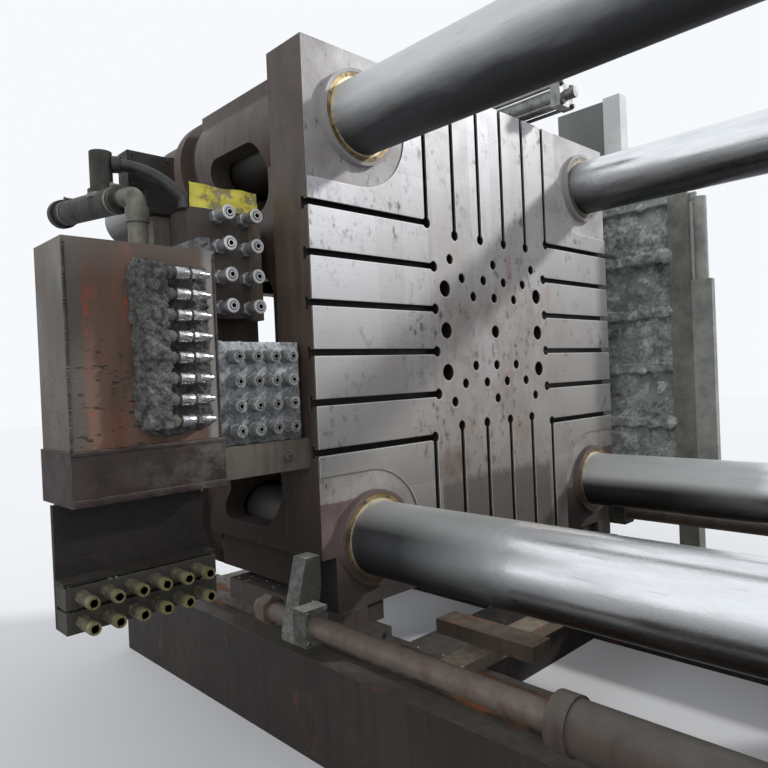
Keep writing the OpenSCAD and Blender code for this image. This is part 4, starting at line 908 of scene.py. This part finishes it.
# Valve box: a welded steel box beside the platen, with a folded skirt and a column under it.
# Its red-brown paint is scraped and lets orange primer and rust through.
BOX_RED = (108, 84, 72)
LUG_OUTLINE = ((-1.775, -0.004), (-1.655, 0.048), (-1.616, 0.048), (-1.611, -0.006))
LUG_SLOT = ((-1.650, 0.010), (-1.648, 0.019), (-1.622, 0.034), (-1.622, 0.024))
LUG_BACK, LUG_SHEET = 0.012, 0.004
SEAM_INSET, SEAM_LEG = 0.004, 0.006
box_low, box_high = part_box("valve_box")
skirt_low, skirt_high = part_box("valve_box_skirt")
box = Finish("box_paint")
box_y = box.axis("Y")
orange_runs = box.blots(0.07, 0.50, 0.66, 6, 0.6, (1, 1, 4.5), (1, 2, 6))
orange_where = box.spread(box.off_zero(box.plus(box_y, 1.98)), 0.16, 0.04, 0.22, 0.92)
flame = box.blots(0.05, 0.56, 0.64, 6, 0.65, (1, 1, 1.8), (9, 4, 3))
oil = box.blots(0.10, 0.46, 0.68, 6, 0.62, (1, 1, 3.5), (7, 5, 1))
top_dust = box.spread(box.plus(box.axis("Z"), box.both(oil, 0.05)), box_high.z - 0.12, box_high.z)
scrape = box.blots(0.018, 0.58, 0.62, 4, 0.65, (1, 3.0, 1), (2, 2, 2))
scrape_where = box.near_spot(box.plus(box_y, 1.99), box.less(box.axis("Z"), 1.50), 0.22)
box_edge = box.both(box.worn_edges(0.004), box.blots(0.05, 0.40, 0.60, 4, to=(0.2, 1.0)))
box_shade = box.over(
    box.tones(times(BOX_RED, 0.8), times(BOX_RED, 1.12), 0.30, 0.38, 0.62, 5, 0.55, (1, 1, 2.5)),
    (box.both(orange_runs, orange_where), 0.75, (132, 76, 52)),
    (box.both(flame, orange_where), 0.7, (164, 76, 52)), (oil, 0.55, (56, 49, 45)),
    ((box_y, -2.062, -2.085), 0.8, (84, 84, 78)), (top_dust, 0.5, (122, 116, 109)),
    ((box_y, -1.665, -1.645), 0.7, (150, 150, 149)),
    (box.both(scrape, box.spread(scrape_where, 0.0, 0.35)), 0.85, (30, 26, 24)),
    (box_edge, 0.5, (140, 128, 118)))
box.relief(box.patches(0.25, 3, 0.5), 0.001)
box.relief(box.patches(0.012, 5, 0.65), 0.0012)
coat_nodes(box.done(box_shade, box.spread(oil, 0, 1, 0.62, 0.42)), "valve_box")

skirt = Finish("skirt_paint")
smear = skirt.blots(0.10, 0.47, 0.68, 7, 0.7, (1, 1.6, 1), (3, 3, 1))
smeared = skirt.both(smear, skirt.spread(skirt.axis("Y"), -2.0, -1.66, 0.15, 0.9))
skirt_edge = skirt.both(skirt.worn_edges(0.005), skirt.blots(0.04, 0.40, 0.58, 4))
skirt_shade = skirt.over(skirt.tones((36, 25, 23), (48, 36, 33), 0.2, 0.38, 0.62),
    (smeared, 0.7, (112, 108, 103)), (skirt_edge, 0.6, (142, 130, 122)))
skirt.relief(skirt.patches(0.014, 5, 0.65), 0.0016)
skirt_paint = skirt.done(skirt_shade, skirt.spread(smear, 0, 1, 0.5, 0.8))
coat_nodes(skirt_paint, "valve_box_skirt")
column_paint = old_paint("column_paint", (30, 24, 22), (13, 12, 11), (50, 34, 28), (58, 55, 50),
    0.35, 0.15, 0.6, 0.35)
coat_nodes(column_paint, "valve_column")


def slab(mesh, low, high, bevel=0.002):
    """Flat bar or plate between two corners, with softened edges."""
    made = bmesh.ops.create_cube(mesh, size=1,
        matrix=Matrix.Translation((low + high) / 2) @ Matrix.Diagonal((high - low).to_4d()))
    edges = list({edge for vert in made["verts"] for edge in vert.link_edges})
    bmesh.ops.bevel(mesh, geom=edges, offset=bevel, segments=2, profile=0.5, affect="EDGES", material=-1)


lug = bmesh.new()
lug_edges = []
for corners in (LUG_OUTLINE, LUG_SLOT):
    made = [lug.verts.new((box_high.x - LUG_BACK, y, box_high.z + up)) for y, up in corners]
    lug_edges += [lug.edges.new((made[i - 1], made[i])) for i in range(4)]
bmesh.ops.bridge_loops(lug, edges=lug_edges)
bmesh.ops.solidify(lug, geom=lug.faces[:], thickness=LUG_SHEET)
piece("box_lug", lug, [nipple_crust], MOVING)

hems = bmesh.new()
for hem_low, hem_high, hem_out in ((skirt_low.z + 0.001, skirt_low.z + 0.024, 0.006),
        (skirt_high.z - 0.014, skirt_high.z - 0.001, 0.004)):
    slab(hems, Vector((skirt_high.x - 0.004, skirt_low.y + 0.001, hem_low)),
        Vector((skirt_high.x + hem_out, skirt_high.y - 0.001, hem_high)))
piece("skirt_hems", hems, [skirt_paint], MOVING)

box_welds = bmesh.new()
for seam_y in (box_low.y + SEAM_INSET, box_high.y - SEAM_INSET):
    bead(box_welds, Vector((box_high.x, seam_y, skirt_high.z)),
        Vector((box_high.x, seam_y, box_high.z - 0.01)), SEAM_LEG)
piece("box_welds", box_welds, [skirt_paint], MOVING)


# Coupling block on the box's front, with eight quick couplings that point to the platen.
# Dried release agent has grown over the block like coral; the couplings' sleeves are polished by hands.
COUPLING_BAR_FRONT = -1.835
COUPLING_MIDDLE = 0.035
COUPLING_FIRST, COUPLING_PITCH, COUPLINGS = 1.425, 0.070, 8
coral = crusted("coral_crust", (38, 39, 37), (122, 124, 121), 0.016, 0.003)
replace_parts(crust_over("coupling_crust", "coupling_block", coral, MOVING,
    0.004, 0.030, 0.013), "coupling_block")

bright_sleeve = dull_steel("bright_sleeve", (214, 216, 218), (140, 138, 134), 0.24, 0.9)
foot_crust = crusted("foot_crust", (74, 74, 70), (128, 128, 122), 0.02, 0.001)
coupling = bmesh.new()
loft(coupling, [(0.0225, -0.004, 6), (0.0225, 0.030, 6), (0.0195, 0.032), (0.0140, 0.032), (0.0140, 0.044),
    (0.0205, 0.045), (0.0212, 0.049), (0.0212, 0.062), (0.0196, 0.063), (0.0196, 0.066), (0.0212, 0.067),
    (0.0212, 0.088), (0.0200, 0.091), (0.0135, 0.092), (0.0135, 0.102), (0.0185, 0.103, 6),
    (0.0185, 0.116, 6), (0.0160, 0.117), (0.0170, 0.121), (0.0170, 0.148), (0.0155, 0.151), (0.0115, 0.152),
    (0.0115, 0.168), (0.0105, 0.170), (0.0062, 0.170), (0.0058, 0.155)],
    colours=[1] * 5 + [0] * 8 + [1, 1] + [0] * 8 + [2, 2])
nipple_set("couplings", "quick_couplings",
    [(Vector((COUPLING_MIDDLE, COUPLING_BAR_FRONT, COUPLING_FIRST + i * COUPLING_PITCH)), (0, 1, 0))
    for i in range(COUPLINGS)], coupling, [bright_sleeve, foot_crust, bore_shade])


# Two return bars on the column's foot plate, with twelve larger nipples, under a drip angle.
# Olive passivated nipples, each with a yellow rim, on oily steel bars.
RETURN_FACE = -0.050
RETURN_LEVELS = (0.906, 0.829)
RETURN_FIRST, RETURN_PITCH, RETURNS = -2.102, 0.077, 6
bar_paint = old_paint("bar_paint", (62, 60, 55), (32, 30, 28), (78, 66, 50), (104, 102, 94),
    0.3, 0.08, 0.4, 0.8)
coat_nodes(bar_paint, "return_bars")
olive = dull_steel("olive_nipple", (114, 108, 93), (66, 60, 50), 0.5, 0.3)
yellow_rim = dull_steel("yellow_rim", (142, 136, 98), (92, 86, 58), 0.45, 0.3)
return_rows = [RETURN_FIRST + i * RETURN_PITCH for i in range(RETURNS)]
return_nipple = bmesh.new()
loft(return_nipple, [(0.0228, 0, 6), (0.0228, 0.026, 6), (0.0200, 0.028), (0.0172, 0.028), (0.0172, 0.036),
    (0.0200, 0.037), (0.0200, 0.074), (0.0186, 0.075), (0.0186, 0.079), (0.0208, 0.080), (0.0208, 0.088),
    (0.0192, 0.100), (0.0120, 0.100), (0.0105, 0.097), (0.0095, 0.070)], colours=[0] * 9 + [2, 2, 2, 1, 1])
nipple_set("return_nipples", "return_fittings",
    [spot for level in RETURN_LEVELS for spot in grid(RETURN_FACE, return_rows, [level])],
    return_nipple, [olive, bore_shade, yellow_rim])


# Return pipe out of the box's top: a steel pipe, an elbow and a thick rubber hose with an upright branch.
# Worm-drive clamps hold the hose; everything is dark with oil and dust.
HOSE_FROM = -0.295
HOSE_RADIUS = 0.050
PIPE_RISE = math.radians(6.3)
ELBOW_END = Vector((-0.25, -1.80, 2.225))
BRANCH_FOOT = Vector((-0.50, -1.80, 2.245))
BRANCH_COLLAR, BRANCH_CLAMP_UP = 0.0525, 0.035
HOSE_CLAMPS = (0.115, 0.60)
pipe = Finish("return_pipe")
is_hose = pipe.spread(pipe.axis("X"), HOSE_FROM, HOSE_FROM - 0.004)
pipe_steel = pipe.tones((78, 76, 68), (113, 111, 102), 0.08, 0.35, 0.65, 6)
thick_rubber = pipe.tones((34, 33, 30), (66, 64, 58), 0.06, 0.38, 0.66, 6)
pipe_dust = pipe.both(pipe.facing("Z", 0.2, 0.9), pipe.blots(0.04, 0.38, 0.62, 6))
pipe_shade = pipe.over(pipe.mixed(is_hose, pipe_steel, thick_rubber), (pipe_dust, 0.6, (122, 118, 106)))
pipe.relief(pipe.patches(0.010, 5, 0.65), 0.0015)
coat_nodes(pipe.done(pipe_shade, pipe.spread(is_hose, 0, 1, 0.5, 0.7), pipe.spread(is_hose, 0, 1, 0.35, 0.0)),
    "return_pipe")


def hose_clamp(mesh, place, axis, radius, screw_axis):
    """Band round a hose, with its worm-drive screw."""
    outer = radius + 0.0022
    loft(mesh, [(radius, -0.008, 40), (outer, -0.008, 40), (outer, 0.008, 40), (radius, 0.008, 40)],
        standing(place, axis))
    side = Vector(screw_axis).normalized()
    loft(mesh, [(0.006, -0.014, 12), (0.006, 0.014, 12), (0.0085, 0.015, 6), (0.0085, 0.022, 6)],
        standing(place + side * (radius + 0.006), side.cross(Vector(axis))))


clamps = bmesh.new()
hose_run = Vector((-math.cos(PIPE_RISE), 0, math.sin(PIPE_RISE)))
for along in HOSE_CLAMPS:
    hose_clamp(clamps, ELBOW_END + hose_run * along, hose_run, HOSE_RADIUS, (0, 0, 1))
hose_clamp(clamps, BRANCH_FOOT + Vector((0, 0, BRANCH_CLAMP_UP)), (0, 0, 1), BRANCH_COLLAR, (1, 0, 0))
piece("hose_clamps", clamps, [dull_steel("clamp_steel", (120, 118, 112), (60, 54, 46))], MOVING)


# Bow hose from the branch down to its socket, black rubber with a dusty back.
# The terminal box beside it is a casting with a screwed lid, in dull red paint under grey dust.
LID_LOW, LID_HIGH = Vector((-0.500, -1.690, 2.335)), Vector((-0.494, -1.514, 2.480))
LID_SCREW_INSET = 0.012
rubber = Finish("hose_rubber")
rubber_dust = rubber.both(rubber.facing("Z", 0.1, 0.9), rubber.blots(0.03, 0.4, 0.6))
rubber_shade = rubber.over(rubber.tones((28, 30, 29), (58, 60, 57), 0.05, 0.36, 0.64, 6),
    (rubber_dust, 0.5, (112, 114, 110)))
rubber.relief(rubber.patches(0.006, 4), 0.0008)
coat_nodes(rubber.done(rubber_shade, rubber.spread(rubber_dust, 0, 1, 0.45, 0.75)), "bow_hose")
terminal_paint = old_paint("terminal_paint", (36, 31, 30), (26, 24, 23), (70, 40, 34), (86, 84, 80), 0.5)
coat_nodes(terminal_paint, "terminal_box")
lid = bmesh.new()
slab(lid, LID_LOW, LID_HIGH, 0.0025)
piece("terminal_lid", lid, [terminal_paint], MOVING)
screws("lid_screws", MOVING, (socket_screw(0.005),
    grid(LID_HIGH.x, (LID_LOW.y + LID_SCREW_INSET, LID_HIGH.y - LID_SCREW_INSET),
    (LID_LOW.z + LID_SCREW_INSET, LID_HIGH.z - LID_SCREW_INSET))))


# Guard wall on the far side: posts and a ribbed steel panel, overgrown with dried release agent.
# Above the spray's reach the sheet is still clean grey-green, and the upper post is light grey.
CLEAN_ABOVE = 2.66
PIPE_FROM_X = 0.353


def sprayed(coat, dirty, clean, clean_size, lump, depth, dull):
    """Dirty up to the spray's reach and clean above it."""
    clean_up = coat.spread(coat.axis("Z"), CLEAN_ABOVE - 0.01, CLEAN_ABOVE + 0.01)
    coat.relief(coat.patches(lump, 7, 0.7), depth)
    return coat.done(coat.mixed(clean_up, dirty, coat.tones(*clean, clean_size, 0.4, 0.6, 4)),
        coat.spread(clean_up, 0, 1, dull, 0.5))


guard = Finish("guard_steel")
guard_dirty = guard.tones((120, 126, 124), (172, 178, 176), 0.15, 0.35, 0.65, 7, 0.7)
coat_nodes(sprayed(guard, guard_dirty, ((96, 101, 100), (112, 117, 115)), 0.4, 0.03, 0.003, 0.85),
    "guard_panel")
post = Finish("post_steel")
post_dirty = post.mixed(post.spread(post.axis("X"), PIPE_FROM_X - 0.003, PIPE_FROM_X + 0.003),
    post.tones((100, 99, 92), (142, 142, 134), 0.15, 0.35, 0.65, 7, 0.7),
    post.tones((134, 138, 135), (176, 178, 172), 0.15, 0.35, 0.65, 6, 0.7))
coat_nodes(sprayed(post, post_dirty, ((190, 195, 195), (208, 212, 211)), 0.3, 0.025, 0.002, 0.8),
    "guard_post")
guard_crust = crusted("guard_crust", (102, 109, 107), (220, 227, 225), 0.07, 0.005)
crust_over("guard_growth", "guard_panel", guard_crust, STILL, 0.010, 0.11, 0.036,
    (0, 0, CLEAN_ABOVE), 0.2)


# Crumbs of dried release agent that have fallen on ledges of the bed and of the moving unit.
# Grey lumps of many sizes, half sunk in the dust.
CRUMB_SIZES = (0.004, 0.006, 0.009)
BED_CRUMBS, UNIT_CRUMBS = 620, 240


def crumbs(name, body, ledges, count, keep):
    """Scatters lumps over the faces of these nodes that look up, where keep allows them."""
    mesh = bmesh.new()
    spots = {size: [] for size in CRUMB_SIZES}
    flats = [(nodes[node].data, face) for node in ledges for face in nodes[node].data.polygons
        if face.normal.z > 0.9]
    areas = [face.area for _, face in flats]
    for data, face in random.choices(flats, areas, k=count):
        corners = [data.vertices[i].co for i in face.vertices]
        first, second = sorted((random.random(), random.random()))
        spot = corners[0] * first + corners[1] * (second - first) + corners[2] * (1 - second)
        if keep(spot):
            spots[random.choice(CRUMB_SIZES)].append((spot, (0, 0, 1)))
    for size, places in spots.items():
        lump = bmesh.new()
        bmesh.ops.create_icosphere(lump, subdivisions=2, radius=size)
        for vert in lump.verts:
            vert.co *= 0.75 + 0.5 * noise.noise(vert.co / size * 1.3 + Vector((size * 900, 0, 0)))
            vert.co.z *= 0.7
        copies(mesh, lump, places)
    piece(name, mesh, [guard_crust], body, 60)


strip_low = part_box("guide_strips")[0]
crumbs("bed_crumbs", STILL, ("rest_slab", "rest_bar", "bed_beam_near", "bed_beam_far", "bed_cross_members"),
    BED_CRUMBS, lambda spot: spot.z < strip_low.z - 0.05
    or (spot.x > shoe_high.x + 0.45 and abs(spot.y) < -strip_low.y - 0.02))
crumbs("unit_crumbs", MOVING,
    ("side_console", "travel_clamps", "return_bars", "lower_port_block", "moving_platen_feet"),
    UNIT_CRUMBS, lambda spot: abs(spot.y) > 1.0 and spot.z < 1.8)
